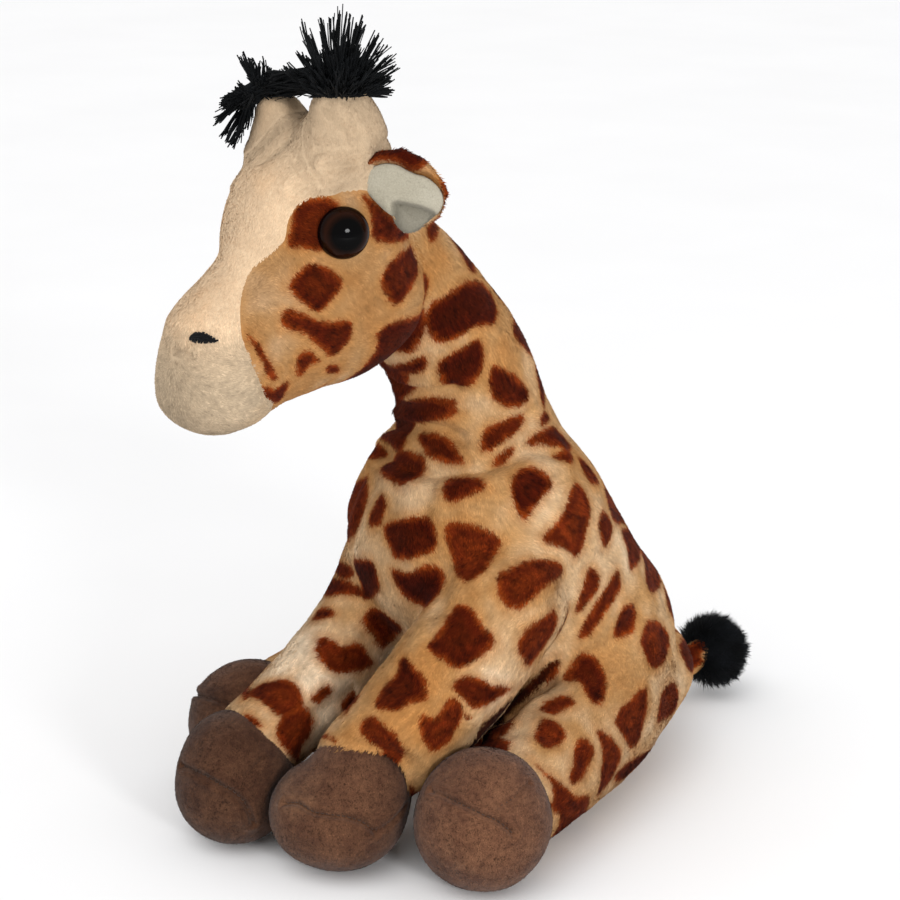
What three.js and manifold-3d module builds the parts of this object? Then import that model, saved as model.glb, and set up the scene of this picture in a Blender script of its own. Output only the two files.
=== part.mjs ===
// Seated plush giraffe calf, sewn from printed plush with plain face, suede hooves and yarn tufts.
// Millimetres, +Z up, the animal faces -Y and its left side is +X. The origin is on the floor under
// the middle of the whole animal. Every skin is a shell that is open where it is sewn to its
// neighbour, with its filling as a separate solid inside.
import * as THREE from 'three';
import { mergeVertices } from 'three/addons/utils/BufferGeometryUtils.js';
import Module from 'manifold-3d';

const wasm = await Module();
wasm.setup();

// ---------------------------------------------------------------- driving dimensions
const DEPTH_OFFSET = 74.7;      // the sketch's Y of the middle of the whole animal
const SKIN = 2.2;               // plush cloth with its pile pressed flat
const SUEDE = 1.8;              // short suede of the hooves
const GAP = 0.45;               // play between a skin and its filling, and along a seam
const SWEEP_GAP = 1.9;          // play of a moving limb in its socket
const EYE_R = 7.6;              // glossy eye dome
const EYE_HEIGHT = 4.6;
const SHANK_R = 1.6;
const SHANK_LENGTH = 9;
const WASHER_R = 6;
const WASHER_T = 1.2;
const NOD_RANGE = [-10, 12];    // degrees, nodding down is positive
const FRONT_LEG_RANGE = [0, 20];   // lifting forward is positive
const HIND_LEG_RANGE = [0, 14];    // splaying outward is positive
const TAIL_RANGE = [-6, 20];
const EAR_RANGE = [-14, 14];

const NECK_PIVOT = [0, 68, 137];
const SHOULDER = [33, 50, 82];
const HIP = [38, 90, 31];
const TAIL_PIVOT = [0, 156, 23];
const EAR_PIVOT = [28.3, -5, 237.5];
const EAR_HINGE = [-0.07, 0.1, 0.99];
const EAR_FACE = [0.58, -0.8, 0.12];     // the way the near ear's lining looks
const EAR_TURN = -27;                    // degrees, the right ear is laid further back
const EAR_ROOT = [-26.8, -5, 0];         // mirrored root of the right ear, and where it sits
const EAR_MOVED = [-25.4, -3.4, -2.5];
// Each eye and nostril: its place and the way it looks; the nostril also has the way it runs.
const EYES = {
  left: { at: [27.2, -13.8, 222.7], out: [0.87, -0.485, 0.085] },
  right: { at: [-26.9, -9.7, 222.3], out: [-0.935, -0.35, 0.08] },
};
const NOSTRILS = {
  left: { at: [9.9, -57.7, 193.6], out: [0.417, -0.772, 0.48], along: [0.95, 0.29, -0.36] },
  right: { at: [-14, -55.3, 192.6], out: [-0.616, -0.645, 0.453], along: [-0.75, 0.62, -0.2] },
};

// Stations along each form: x, y, z, then the half sizes along x, y and z.
const TORSO = [[0, 69, 132, 24, 22.5, 24], [0, 72, 119, 34, 29.5, 31], [0, 72, 100, 46.5, 45, 43.5], [0, 86, 80, 49.5, 47.2, 47.2], [0, 101, 58, 52, 48, 48.5], [0, 115, 46.5, 50, 45.5, 45.5]];
const SEAT = [0, 114.5, 36, 47, 45, 43];
const HIP_BULGE = [27, 106, 36, 34, 34, 34];
const NECK = [[0, 68, 137, 27, 27, 27], [0, 66, 150, 26.5, 26.5, 26.5], [0, 61, 164, 26, 26, 26], [0, 51, 179, 23.5, 23.5, 23.5], [0, 40, 193, 21.5, 21.5, 21.5], [0, 28, 205, 20.5, 20.5, 20.5]];
const SKULL = [0, 0.5, 219.5, 30, 30.3, 32];
const JAW = [[0, 22, 198, 22, 21, 22], [0, 9, 198, 27, 25, 28], [0, -12, 191.5, 24, 22, 26], [0, -30, 186, 20, 18, 22]];
const BRIDGE = [[0, -8, 217.5, 25.5, 25.5, 27.5], [0, -19, 205.5, 21, 20, 21.5], [0, -33, 195, 19.5, 17, 19]];
const MUZZLE = [0, -45.5, 180.5, 21.5, 17.5, 23.2];
const CROWN = [[0, -5.5, 230.5, 23, 19.5, 21.5], [0, -3, 240, 17.5, 15, 16]];
const OSSICONES = {
  left: [[14.6, -2.4, 241, 13, 13, 13], [15, -2.8, 250, 12.2, 12.2, 12.2], [14.8, -3.4, 257.5, 10, 10, 10]],
  right: [[-13.2, -4, 238, 11.3, 11.3, 11.3], [-14.3, -4, 246, 10.2, 10.2, 10.2], [-14.6, -4, 252.8, 8, 8, 8]],
};
const TUFTS = { left: [15, -3.5, 273, 15.5, 14, 15.5], right: [-17, -4, 263.5, 13.5, 13, 12.5] };
const FRONT_LEGS = {
  left: [[33, 50, 82, 22, 22, 22], [31.5, 36, 69.5, 21.5, 21.5, 21.5], [29, 26, 60, 20.5, 20.5, 20.5], [24, 12, 47, 18.6, 18.6, 18.6], [19.5, 0, 34, 16.8, 16.8, 16.8]],
  right: [[-32, 53, 78, 21, 21, 21], [-30, 44, 64, 18.5, 18.5, 18.5], [-28, 29, 51, 17.3, 17.3, 17.3], [-25.5, 7, 41, 17, 17, 17], [-24.3, -10, 33, 16.2, 16.2, 16.2]],
};
const FRONT_HOOVES = { left: [17.2, -6, 22.6, 21.6, 22, 22.4], right: [-24.6, -19.5, 22.6, 20, 20.4, 22] };
const HIND_LEG = [[38, 90, 31, 27.5, 27.5, 27.5], [46.5, 66, 27, 24.5, 24.5, 24.5], [54, 42, 24, 20.5, 20.5, 20.5], [57.5, 28, 23, 19, 19, 19]];
const HIND_HOOF = [60, 15.5, 23.5, 23.5, 23.5, 23.8];
const TAIL = [[0, 156, 23, 6.5, 6.5, 6.5], [1, 169, 17, 6.2, 6.2, 6.2], [4, 180, 15, 6.2, 6.2, 6.2], [6.5, 187.5, 16.5, 6.1, 6.1, 6.1], [8, 192, 19.5, 5.5, 5.5, 5.5]];
const TAIL_TUFT = [8.6, 201, 19, 13.2, 10.6, 14];
const PELLET_BAG = [0, 118, 21, 27, 22, 12.5];

// Side outline, in Y and Z, of the plain face cloth: crown, forehead, nose and muzzle.
const FACE_OUTLINE = [[-120, 150], [-37, 150], [-33, 168], [-33, 188], [-27, 200], [-17, 214], [-9, 226], [4, 238], [18, 246], [30, 262], [30, 320], [-120, 320]];

// ---------------------------------------------------------------- forms
const V = (a) => new THREE.Vector3(a[0], a[1], a[2]);

function solid(geometry) {
  const g = geometry.clone();
  for (const name of Object.keys(g.attributes)) if (name !== 'position') g.deleteAttribute(name);
  const m = mergeVertices(g, 1e-4);
  const body = new wasm.Manifold(new wasm.Mesh({
    numProp: 3,
    vertProperties: new Float32Array(m.attributes.position.array),
    triVerts: new Uint32Array(m.index.array),
  }));
  if (!(body.volume() > 0)) throw new Error('a form is inside out');
  return body;
}

const join = (list) => list.reduce((a, b) => a.add(b));

function turned(geometry, pivot, axis, degrees) {
  const p = V(pivot);
  const m = new THREE.Matrix4().makeTranslation(p.x, p.y, p.z)
    .multiply(new THREE.Matrix4().makeRotationAxis(V(axis).normalize(), THREE.MathUtils.degToRad(degrees)))
    .multiply(new THREE.Matrix4().makeTranslation(-p.x, -p.y, -p.z));
  return geometry.clone().applyMatrix4(m);
}

// An ellipsoid with its poles upright.
function ellipsoid(station, grow = 0, around = 14, rows = 10) {
  const [x, y, z, rx, ry, rz] = station;
  return new THREE.SphereGeometry(1, around, rows).rotateX(Math.PI / 2)
    .scale(rx + grow, ry + grow, rz + grow).translate(x, y, z);
}

// A sphere drawn out along a curve through the stations, with each station's half sizes. With a
// pivot, the section widens away from it by the given slope, as a limb that swings there needs:
// upright for a hinge across the animal, and sideways for an upright hinge.
function loft(stations, grow = 0, around = 12, perSpan = 2, capRows = 3, pivot = null, slope = 0, sideways = false) {
  const spans = stations.length - 1;
  const curve = new THREE.CatmullRomCurve3(stations.map(V), false, 'catmullrom', 0.5);
  const sizes = new THREE.CatmullRomCurve3(stations.map((s) => new THREE.Vector3(s[3], s[4], s[5])), false, 'catmullrom', 0.5);
  const middle = spans * perSpan;
  const rows = middle + 2 * capRows;
  const g = new THREE.SphereGeometry(1, around, rows);
  const pos = g.attributes.position;
  const perRow = around + 1;
  for (let r = 0; r <= rows; r++) {
    let t = 0;
    let cap = 0;          // 0 on the body, up to a right angle at a pole
    let end = 0;
    if (r < capRows) { cap = (1 - r / capRows) * Math.PI / 2; end = -1; }
    else if (r > rows - capRows) { t = 1; cap = (1 - (rows - r) / capRows) * Math.PI / 2; end = 1; }
    else t = (r - capRows) / middle;
    const c = curve.getPoint(t);
    const s = sizes.getPoint(t).addScalar(grow);
    const T = curve.getTangent(Math.min(Math.max(t, 0.001), 0.999)).normalize();
    const X = new THREE.Vector3(1, 0, 0).addScaledVector(T, -T.x).normalize();
    const N = new THREE.Vector3().crossVectors(T, X);
    const along = (d) => Math.hypot(s.x * d.x, s.y * d.y, s.z * d.z);
    const rt = along(T) * Math.sin(cap) * end;
    const wider = pivot ? c.distanceTo(V(pivot)) * slope : 0;
    const rx = (along(X) + (sideways ? wider : 0)) * Math.cos(cap);
    const rn = (along(N) + (sideways ? 0 : wider)) * Math.cos(cap);
    for (let k = 0; k <= around; k++) {
      const a = (k % around) / around * 2 * Math.PI;
      const v = c.clone().addScaledVector(T, rt);
      if (r > 0 && r < rows) v.addScaledVector(X, -rx * Math.cos(a)).addScaledVector(N, rn * Math.sin(a));
      pos.setXYZ(r * perRow + k, v.x, v.y, v.z);
    }
  }
  return g;
}

// A block that fills the half space on the side that n points to.
function halfSpace(at, n) {
  const q = new THREE.Quaternion().setFromUnitVectors(new THREE.Vector3(0, 0, 1), V(n).normalize());
  return solid(new THREE.BoxGeometry(1000, 1000, 1000).translate(0, 0, 500).applyQuaternion(q).translate(...at));
}

const mirrored = (s) => (Array.isArray(s[0]) ? s.map(mirrored) : [-s[0], ...s.slice(1)]);
const below = solid(new THREE.BoxGeometry(600, 800, 100).translate(0, 60, -50));
// The room that a limb sweeps on its hinge, from one end of its range to the other.
function sweep(stations, grow, pivot, axis, [low, high], around = 8) {
  const slope = Math.sin(THREE.MathUtils.degToRad((high - low) / 2 + 1));
  const sideways = Math.abs(axis[2]) > Math.abs(axis[0]);
  return solid(turned(loft(stations, grow, around, 1, 3, pivot, slope, sideways), pivot, axis, (low + high) / 2));
}

// ---------------------------------------------------------------- pieces
const object = new THREE.Group();
object.position.set(0, -DEPTH_OFFSET, 0);

function put(name, body, color, roughness) {
  const mesh = body.getMesh();
  const g = new THREE.BufferGeometry();
  g.setAttribute('position', new THREE.BufferAttribute(new Float32Array(mesh.vertProperties), 3));
  g.setIndex(new THREE.BufferAttribute(new Uint32Array(mesh.triVerts), 1));
  g.computeVertexNormals();
  const m = new THREE.Mesh(g, new THREE.MeshStandardMaterial({ color, roughness, metalness: 0 }));
  m.name = name;
  object.add(m);
}

const PRINT = 0xdcb184;
const FACE = 0xdac3a4;
const SUEDE_BROWN = 0x70594d;
const FILLING = 0xf0efec;
const BLACK = 0x14161a;

// Legs: the outline of each, its hoof and the plane of the seam between them.
function leg(stations, hoof, around = 8) {
  const end = V(stations[stations.length - 1]);
  const before = V(stations[stations.length - 2]);
  const way = V(hoof).sub(before).normalize();
  const seam = V(hoof).addScaledVector(way, -9);
  return { stations, hoof, way: way.toArray(), seam: seam.toArray(), around, end };
}
const legs = {
  front_left: leg(FRONT_LEGS.left, FRONT_HOOVES.left),
  front_right: leg(FRONT_LEGS.right, FRONT_HOOVES.right),
  hind_left: leg(HIND_LEG, HIND_HOOF),
  hind_right: leg(mirrored(HIND_LEG), mirrored(HIND_HOOF)),
};
const legPivot = {
  front_left: SHOULDER, front_right: [-32, 53, 78], hind_left: HIP, hind_right: mirrored(HIP),
};
const legRange = (name) => (name.startsWith('front') ? FRONT_LEG_RANGE : HIND_LEG_RANGE);
const legAxis = { front_left: [-1, 0, 0], front_right: [-1, 0, 0], hind_left: [0, 0, 1], hind_right: [0, 0, -1] };
const legRoom = (name, grow) => sweep(legs[name].stations, grow, legPivot[name], legAxis[name], legRange(name));

// Torso, its filling and the pellet bag in its seat.
const torsoForm = (grow) => join([
  solid(loft(TORSO, grow, 14, 1, 3)),
  solid(ellipsoid(SEAT, grow, 12, 8)),
  solid(ellipsoid(HIP_BULGE, grow, 10, 6)),
  solid(ellipsoid(mirrored(HIP_BULGE), grow, 10, 6)),
]);
const neckForm = (grow) => loft(NECK, grow, 10, 1, 3);
const tailForm = (grow) => loft(TAIL, grow, 8, 1, 2);
const sockets = (extra) => join([
  sweep(NECK.slice(0, 4), SWEEP_GAP + extra, NECK_PIVOT, [1, 0, 0], NOD_RANGE, 10),
  ...Object.keys(legs).map((name) => legRoom(name, SWEEP_GAP + extra)),
  sweep(TAIL.slice(0, 3), SWEEP_GAP + extra, TAIL_PIVOT, [1, 0, 0], TAIL_RANGE, 8),
]);
const socketCut = sockets(0.6);
const torsoOuter = torsoForm(0).subtract(below);
const torsoInner = torsoForm(-SKIN).subtract(solid(new THREE.BoxGeometry(600, 800, 100).translate(0, 60, -50 + SKIN)));
put('torso_skin', torsoOuter.subtract(torsoInner).subtract(socketCut), PRINT, 0.95);
const bagRoom = solid(ellipsoid(PELLET_BAG, GAP, 12, 6));
put('torso_stuffing',
  torsoForm(-SKIN - GAP)
    .subtract(solid(new THREE.BoxGeometry(600, 800, 100).translate(0, 60, -50 + SKIN + GAP)))
    .subtract(socketCut).subtract(bagRoom)
    .subtract(solid(new THREE.CylinderGeometry(6, 6, 20, 10).rotateX(Math.PI / 2).translate(0, 118, 10))),
  FILLING, 1);
put('seat_pellet_bag', solid(ellipsoid(PELLET_BAG, 0, 12, 6)).subtract(socketCut).subtract(solid(new THREE.BoxGeometry(600, 800, 100).translate(0, 60, -50 + SKIN + 2 * GAP))), 0xb9b3a8, 0.9);

// Legs and hooves.
for (const [name, l] of Object.entries(legs)) {
  const [end, side] = name.split('_');
  const forward = halfSpace(l.seam, l.way);
  const legSide = halfSpace(V(l.seam).addScaledVector(V(l.way), -GAP / 2).toArray(), V(l.way).negate().toArray());
  const hoofSide = halfSpace(V(l.seam).addScaledVector(V(l.way), GAP / 2).toArray(), l.way);
  const outer = solid(loft(l.stations, 0, l.around, 1, 3));
  const inner = solid(loft(l.stations, -SKIN, l.around, 1, 3));
  put(`${end}_leg_skin_${side}`, outer.subtract(inner).intersect(legSide).subtract(below), PRINT, 0.95);
  const hoofOuter = solid(ellipsoid(l.hoof, 0, 12, 6));
  const hoofInner = solid(ellipsoid(l.hoof, -SUEDE, 12, 6));
  put(`${end}_hoof_${side}`, hoofOuter.subtract(hoofInner).intersect(hoofSide).subtract(below), SUEDE_BROWN, 0.9);
  const fill = solid(loft(l.stations, -SKIN - GAP, l.around, 1, 3)).intersect(halfSpace(V(l.seam).addScaledVector(V(l.way), 0.01).toArray(), V(l.way).negate().toArray()));
  const hoofFill = solid(ellipsoid(l.hoof, -SUEDE - GAP, 12, 6)).intersect(forward);
  const neck = solid(loft([l.stations[l.stations.length - 2], l.stations[l.stations.length - 1], [...V(l.hoof).toArray(), ...l.stations[l.stations.length - 1].slice(3)]], -SKIN - GAP - 3, l.around, 1, 3));
  put(`${end}_leg_stuffing_${side}`, join([fill, hoofFill, neck]).subtract(solid(new THREE.BoxGeometry(600, 800, 100).translate(0, 60, -50 + SKIN + GAP))), FILLING, 1);
}

// Head: plain face cloth in front, printed cloth on both cheeks, filling and eyes.
const headForm = (grow) => join([
  solid(ellipsoid(SKULL, grow, 12, 8)),
  solid(loft(JAW, grow, 10, 1, 3)),
  solid(loft(BRIDGE, grow, 8, 1, 2)),
  solid(ellipsoid(MUZZLE, grow, 10, 8)),
  solid(loft(CROWN, grow, 8, 1, 2)),
]);
const eyeProfile = (grow) => {
  const points = [new THREE.Vector2(0, -SHANK_LENGTH - grow), new THREE.Vector2(SHANK_R + grow, -SHANK_LENGTH - grow), new THREE.Vector2(SHANK_R + grow, -0.9 - grow), new THREE.Vector2(EYE_R + grow, -0.9 - grow), new THREE.Vector2(EYE_R + grow, 0.1)];
  for (const a of [30, 60]) {
    const r = THREE.MathUtils.degToRad(a);
    points.push(new THREE.Vector2((EYE_R + grow) * Math.cos(r), 0.1 + (EYE_HEIGHT + grow - 0.1) * Math.sin(r)));
  }
  points.push(new THREE.Vector2(0, EYE_HEIGHT + grow));
  return points;
};
const eyePlace = (geometry, side) => {
  const { at, out } = EYES[side];
  return geometry.applyQuaternion(new THREE.Quaternion().setFromUnitVectors(new THREE.Vector3(0, 1, 0), V(out).normalize())).translate(...at);
};
const eyeForm = (grow, side, segments = 14) => eyePlace(new THREE.LatheGeometry(eyeProfile(grow), segments), side);
const ring = (rIn, rOut, low, high, side, segments = 12) => eyePlace(new THREE.LatheGeometry([
  new THREE.Vector2(rIn, low), new THREE.Vector2(rOut, low), new THREE.Vector2(rOut, high), new THREE.Vector2(rIn, high), new THREE.Vector2(rIn, low),
], segments), side);
const headOuter = headForm(0);
const headGrown = headForm(GAP);
// Ears: a flat oval cushion, printed at the back and plain in front. earPlace puts what is drawn
// for the left side where the right ear sits: mirrored, turned back and set further in.
const earPlace = {
  left: new THREE.Matrix4(),
  right: new THREE.Matrix4().makeTranslation(...EAR_MOVED)
    .multiply(new THREE.Matrix4().makeRotationZ(THREE.MathUtils.degToRad(EAR_TURN)))
    .multiply(new THREE.Matrix4().makeTranslation(-EAR_ROOT[0], -EAR_ROOT[1], -EAR_ROOT[2]))
    .multiply(new THREE.Matrix4().makeScale(-1, 1, 1)),
};
function earForm(side) {
  const whole = new THREE.SphereGeometry(1, 14, 8)
    .scale(13.2, 4.2, 12.5).rotateX(-0.12).rotateZ(0.627).translate(38.3, 1.5, 236).applyMatrix4(earPlace[side]);
  if (side === 'right') whole.setIndex([...whole.index.array].reverse());
  return solid(whole);
}
const sides = ['left', 'right'];
const eyes = {};
for (const side of sides) {
  eyes[side] = {
    body: solid(eyeForm(0, side)), room: solid(eyeForm(0.35, side)),
    washer: solid(ring(SHANK_R + 0.4, WASHER_R, -SKIN - 3.6 - WASHER_T, -SKIN - 3.6, side)),
    pocket: solid(eyePlace(new THREE.CylinderGeometry(WASHER_R + 0.8, WASHER_R + 0.8, 12, 12).translate(0, -5, 0), side)),
  };
}
const eyeRooms = join([eyes.left.room, eyes.right.room]);
const neckHole = solid(loft(NECK.slice(2), -SKIN - GAP - 3.5, 10, 1, 2));
const headShell = headOuter.subtract(headForm(-SKIN)).subtract(eyeRooms).subtract(neckHole);
const outline = (grow) => {
  const s = new THREE.Shape(FACE_OUTLINE.map(([y, z]) => new THREE.Vector2(y + grow, z - grow)));
  // The shape's x and y become Y and Z, and the extrusion runs along X.
  return solid(new THREE.ExtrudeGeometry(s, { depth: 200, bevelEnabled: false })
    .applyMatrix4(new THREE.Matrix4().set(0, 0, 1, -100, 1, 0, 0, 0, 0, 1, 0, 0, 0, 0, 0, 1)));
};
put('face_panel', headShell.intersect(outline(0)), FACE, 0.95);
const cheeks = headShell.subtract(outline(GAP));
put('head_side_left', cheeks.intersect(halfSpace([GAP / 2, 0, 0], [1, 0, 0])), PRINT, 0.95);
put('head_side_right', cheeks.intersect(halfSpace([-GAP / 2, 0, 0], [-1, 0, 0])), PRINT, 0.95);
put('head_stuffing', headForm(-SKIN - GAP).subtract(eyeRooms).subtract(join([eyes.left.pocket, eyes.right.pocket])).subtract(neckHole), FILLING, 1);

// Neck, between the torso's socket and the head.
const neckOuter = solid(neckForm(0));
put('neck_skin', neckOuter.subtract(solid(neckForm(-SKIN))).subtract(headGrown), PRINT, 0.95);
const neckPlug = solid(loft(NECK.slice(2), -SKIN - 2 * GAP - 3.5, 10, 1, 2));
put('neck_stuffing', solid(neckForm(-SKIN - GAP)).subtract(headGrown).add(neckPlug), FILLING, 1);

for (const side of sides) {
  put(`eye_${side}`, eyes[side].body, 0x1a0f0a, 0.08);
  put(`eye_washer_${side}`, eyes[side].washer, 0xe6e4df, 0.5);
  // The head and the horn keep clear of the ear wherever it flops to.
  const pivot = V(EAR_PIVOT).applyMatrix4(earPlace[side]);
  const hinge = V(EAR_HINGE).transformDirection(earPlace[side]);
  const about = (degrees) => new THREE.Matrix4().makeTranslation(pivot.x, pivot.y, pivot.z)
    .multiply(new THREE.Matrix4().makeRotationAxis(hinge, THREE.MathUtils.degToRad(degrees)))
    .multiply(new THREE.Matrix4().makeTranslation(-pivot.x, -pivot.y, -pivot.z)).elements;
  const near = headForm(0.9).add(solid(loft(OSSICONES[side], 0.9, 12, 1, 3)));
  const whole = join([near.transform(about(EAR_RANGE[0] - 1)), near.transform(about(EAR_RANGE[1] + 1)), near])
    .simplify(0.05);
  const cushion = earForm(side).subtract(whole);
  const q = V(EAR_FACE).transformDirection(earPlace[side]);
  const mid = V([38.3, 1.5, 236]).applyMatrix4(earPlace[side]).addScaledVector(q, 1.2);
  put(`ear_${side}`, cushion.intersect(halfSpace(mid.clone().addScaledVector(q, -0.2).toArray(), q.clone().negate().toArray())), PRINT, 0.95);
  put(`ear_lining_${side}`, cushion.intersect(halfSpace(mid.clone().addScaledVector(q, 0.2).toArray(), q.toArray())), 0xd6d2c8, 0.95);
  // Ossicone stump and the yarn fan on it.
  const horn = solid(loft(OSSICONES[side], 0, 12, 1, 3)).subtract(headGrown);
  put(`ossicone_${side}`, horn, FACE, 0.95);
  put(`ossicone_tuft_${side}`, solid(ellipsoid(TUFTS[side], 0, 12, 8)).subtract(solid(loft(OSSICONES[side], GAP, 12, 1, 3))).subtract(headForm(GAP + 0.4)), BLACK, 0.8);
  // Stitched nostril, a slanted dash on the muzzle.
  const nostril = NOSTRILS[side];
  const out = V(nostril.out).normalize();
  const dash = V(nostril.along);
  dash.addScaledVector(out, -dash.dot(out)).normalize();
  const across = new THREE.Vector3().crossVectors(out, dash);
  const place = new THREE.Matrix4().makeBasis(dash, across, out).setPosition(...nostril.at);
  put(`nostril_${side}`, solid(new THREE.SphereGeometry(1, 10, 6).scale(3.9, 1.5, 1.1).applyMatrix4(place)).subtract(headForm(0.15)), 0x101012, 0.9);
}

// Tail and its tuft.
const tail = solid(tailForm(0));
put('tail_skin', tail, PRINT, 0.95);
put('tail_tuft', solid(ellipsoid(TAIL_TUFT, 0, 12, 8)).subtract(solid(tailForm(GAP))), BLACK, 0.9);

export default object;
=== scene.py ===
import math

import bpy
import numpy as np
from mathutils import Matrix, Vector
from mathutils.bvhtree import BVHTree


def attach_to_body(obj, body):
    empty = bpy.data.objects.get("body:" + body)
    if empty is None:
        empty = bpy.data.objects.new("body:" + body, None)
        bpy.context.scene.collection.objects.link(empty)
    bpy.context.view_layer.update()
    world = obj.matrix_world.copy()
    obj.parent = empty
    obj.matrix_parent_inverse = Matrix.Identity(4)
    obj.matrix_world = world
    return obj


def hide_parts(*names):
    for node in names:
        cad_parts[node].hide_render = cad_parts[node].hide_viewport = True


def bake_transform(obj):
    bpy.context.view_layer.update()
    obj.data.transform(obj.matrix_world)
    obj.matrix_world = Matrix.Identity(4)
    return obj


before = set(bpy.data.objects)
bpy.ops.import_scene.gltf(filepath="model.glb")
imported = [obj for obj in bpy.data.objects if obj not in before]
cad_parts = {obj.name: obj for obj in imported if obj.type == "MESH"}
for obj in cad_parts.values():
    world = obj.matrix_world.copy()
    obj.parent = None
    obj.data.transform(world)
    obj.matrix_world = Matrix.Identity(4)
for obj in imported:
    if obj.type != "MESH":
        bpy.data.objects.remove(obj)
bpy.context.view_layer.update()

# Shapes are worked out in millimetres, with Y measured from the head, and moved into the frame
# when a mesh is made.
DEPTH_OFFSET = 74.7
PILE = 0.8                      # how far the tips of the pile stand off the cloth


def smooth(a, b, x):
    t = np.clip((x - a) / (b - a), 0, 1)
    return t * t * (3 - 2 * t)


def unit(v):
    v = np.asarray(v, float)
    return v / np.maximum(np.linalg.norm(v, axis=-1, keepdims=True), 1e-9)


def linear(hexcode):
    c = np.array([int(hexcode[i:i + 2], 16) for i in (0, 2, 4)]) / 255
    return np.where(c <= 0.04045, c / 12.92, ((c + 0.055) / 1.055) ** 2.4)


LATTICES = [np.random.default_rng(100 + i).uniform(-1, 1, (32, 32, 32)) for i in range(6)]


def noise3(p, size, seed=0):
    """Smooth noise from -1 to 1, with lumps about size across."""
    g = LATTICES[seed % 6]
    q = np.asarray(p, float) / size + 11.3 * (seed + 1)
    i = np.floor(q).astype(int)
    f = q - i
    f = f * f * (3 - 2 * f)
    out = 0
    for dx in (0, 1):
        for dy in (0, 1):
            for dz in (0, 1):
                w = (f[:, 0] if dx else 1 - f[:, 0]) * (f[:, 1] if dy else 1 - f[:, 1]) * (f[:, 2] if dz else 1 - f[:, 2])
                out = out + w * g[(i[:, 0] + dx) % 32, (i[:, 1] + dy) % 32, (i[:, 2] + dz) % 32]
    return out


# ------------------------------------------------------------------ camera
AZIMUTH, ELEVATION, DISTANCE = math.radians(44.96), math.radians(17.0), 800.0
AIM = np.array([60.0, 0.0, 155.9])
FOCAL = 2541.6                  # in pixels of a 900 pixel frame
TOWARD = np.array([math.sin(AZIMUTH) * math.cos(ELEVATION), -math.cos(AZIMUTH) * math.cos(ELEVATION), math.sin(ELEVATION)])
RIGHT = np.array([math.cos(AZIMUTH), math.sin(AZIMUTH), 0.0])
UP = np.cross(TOWARD, RIGHT)
EYE_POINT = AIM + TOWARD * DISTANCE


def metres(p):
    q = np.array(p, float)
    q[..., 1] -= DEPTH_OFFSET
    return q * 0.001


cam = bpy.data.cameras.new("camera")
cam.sensor_width = 36
cam.lens = FOCAL / 900 * 36
cam_obj = bpy.data.objects.new("camera", cam)
bpy.context.scene.collection.objects.link(cam_obj)
cam_obj.matrix_world = Matrix([[RIGHT[i], UP[i], TOWARD[i], metres(EYE_POINT)[i]] for i in range(3)] + [[0, 0, 0, 1]])
bpy.context.scene.camera = cam_obj


def ray(px, py):
    return EYE_POINT, unit((px - 450) / FOCAL * RIGHT - (py - 450) / FOCAL * UP - TOWARD)


# ------------------------------------------------------------------ forms as distance fields
H = 1.25
LO = np.array([-96.0, -84.0, -8.0])
N = np.ceil((np.array([96.0, 214.0, 284.0]) - LO) / H).astype(int) + 1
AXES = [(LO[k] + H * np.arange(N[k])).astype(np.float32) for k in range(3)]
FAR = 30.0


def empty_field():
    return np.full(tuple(N), FAR, np.float32)


def window(lo, hi):
    return tuple(slice(max(int((lo[k] - LO[k]) / H), 0), min(int((hi[k] - LO[k]) / H) + 2, int(N[k]))) for k in range(3))


def add_ball(f, c, r, margin=13.0):
    c, r = np.asarray(c, float), np.asarray(r, float)
    w = window(c - r - margin, c + r + margin)
    x = (AXES[0][w[0]] - c[0])[:, None, None]
    y = (AXES[1][w[1]] - c[1])[None, :, None]
    z = (AXES[2][w[2]] - c[2])[None, None, :]
    k0 = np.sqrt((x / r[0]) ** 2 + (y / r[1]) ** 2 + (z / r[2]) ** 2)
    k1 = np.sqrt((x / r[0] ** 2) ** 2 + (y / r[1] ** 2) ** 2 + (z / r[2] ** 2) ** 2)
    f[w] = np.minimum(f[w], (k0 * (k0 - 1) / np.maximum(k1, 1e-5)).astype(np.float32))


def catmull(points, per, closed=False):
    p = np.asarray(points, float)
    if closed:
        e = np.vstack([p[-1], p, p[0], p[1]])
    else:
        e = np.vstack([2 * p[0] - p[1], p, 2 * p[-1] - p[-2]])
    out = []
    for i in range(1, len(e) - 2):
        a, b, c, d = e[i - 1:i + 3]
        for t in np.linspace(0, 1, per, endpoint=False):
            out.append(0.5 * (2 * b + (c - a) * t + (2 * a - 5 * b + 4 * c - d) * t * t + (3 * b - a - 3 * c + d) * t ** 3))
    if not closed:
        out.append(p[-1])
    return np.array(out)


def chain(f, stations, per=9):
    s = np.array([list(x) + [x[3]] * (6 - len(x)) for x in stations], float)
    for q in catmull(s, per):
        add_ball(f, q[:3], q[3:])
    return f


def smin(a, b, k):
    h = np.clip(0.5 + 0.5 * (b - a) / k, 0, 1)
    return b + (a - b) * h - k * h * (1 - h)


def mirror(stations):
    return [(-s[0], *s[1:]) for s in stations]


def sample(f, p):
    """The field at points, by trilinear interpolation."""
    q = np.clip((p - LO) / H, 0, np.array(f.shape) - 1.001)
    i = q.astype(int)
    t = q - i
    out = 0
    for dx in (0, 1):
        for dy in (0, 1):
            for dz in (0, 1):
                w = (t[:, 0] if dx else 1 - t[:, 0]) * (t[:, 1] if dy else 1 - t[:, 1]) * (t[:, 2] if dz else 1 - t[:, 2])
                out = out + w * f[i[:, 0] + dx, i[:, 1] + dy, i[:, 2] + dz]
    return out


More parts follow.
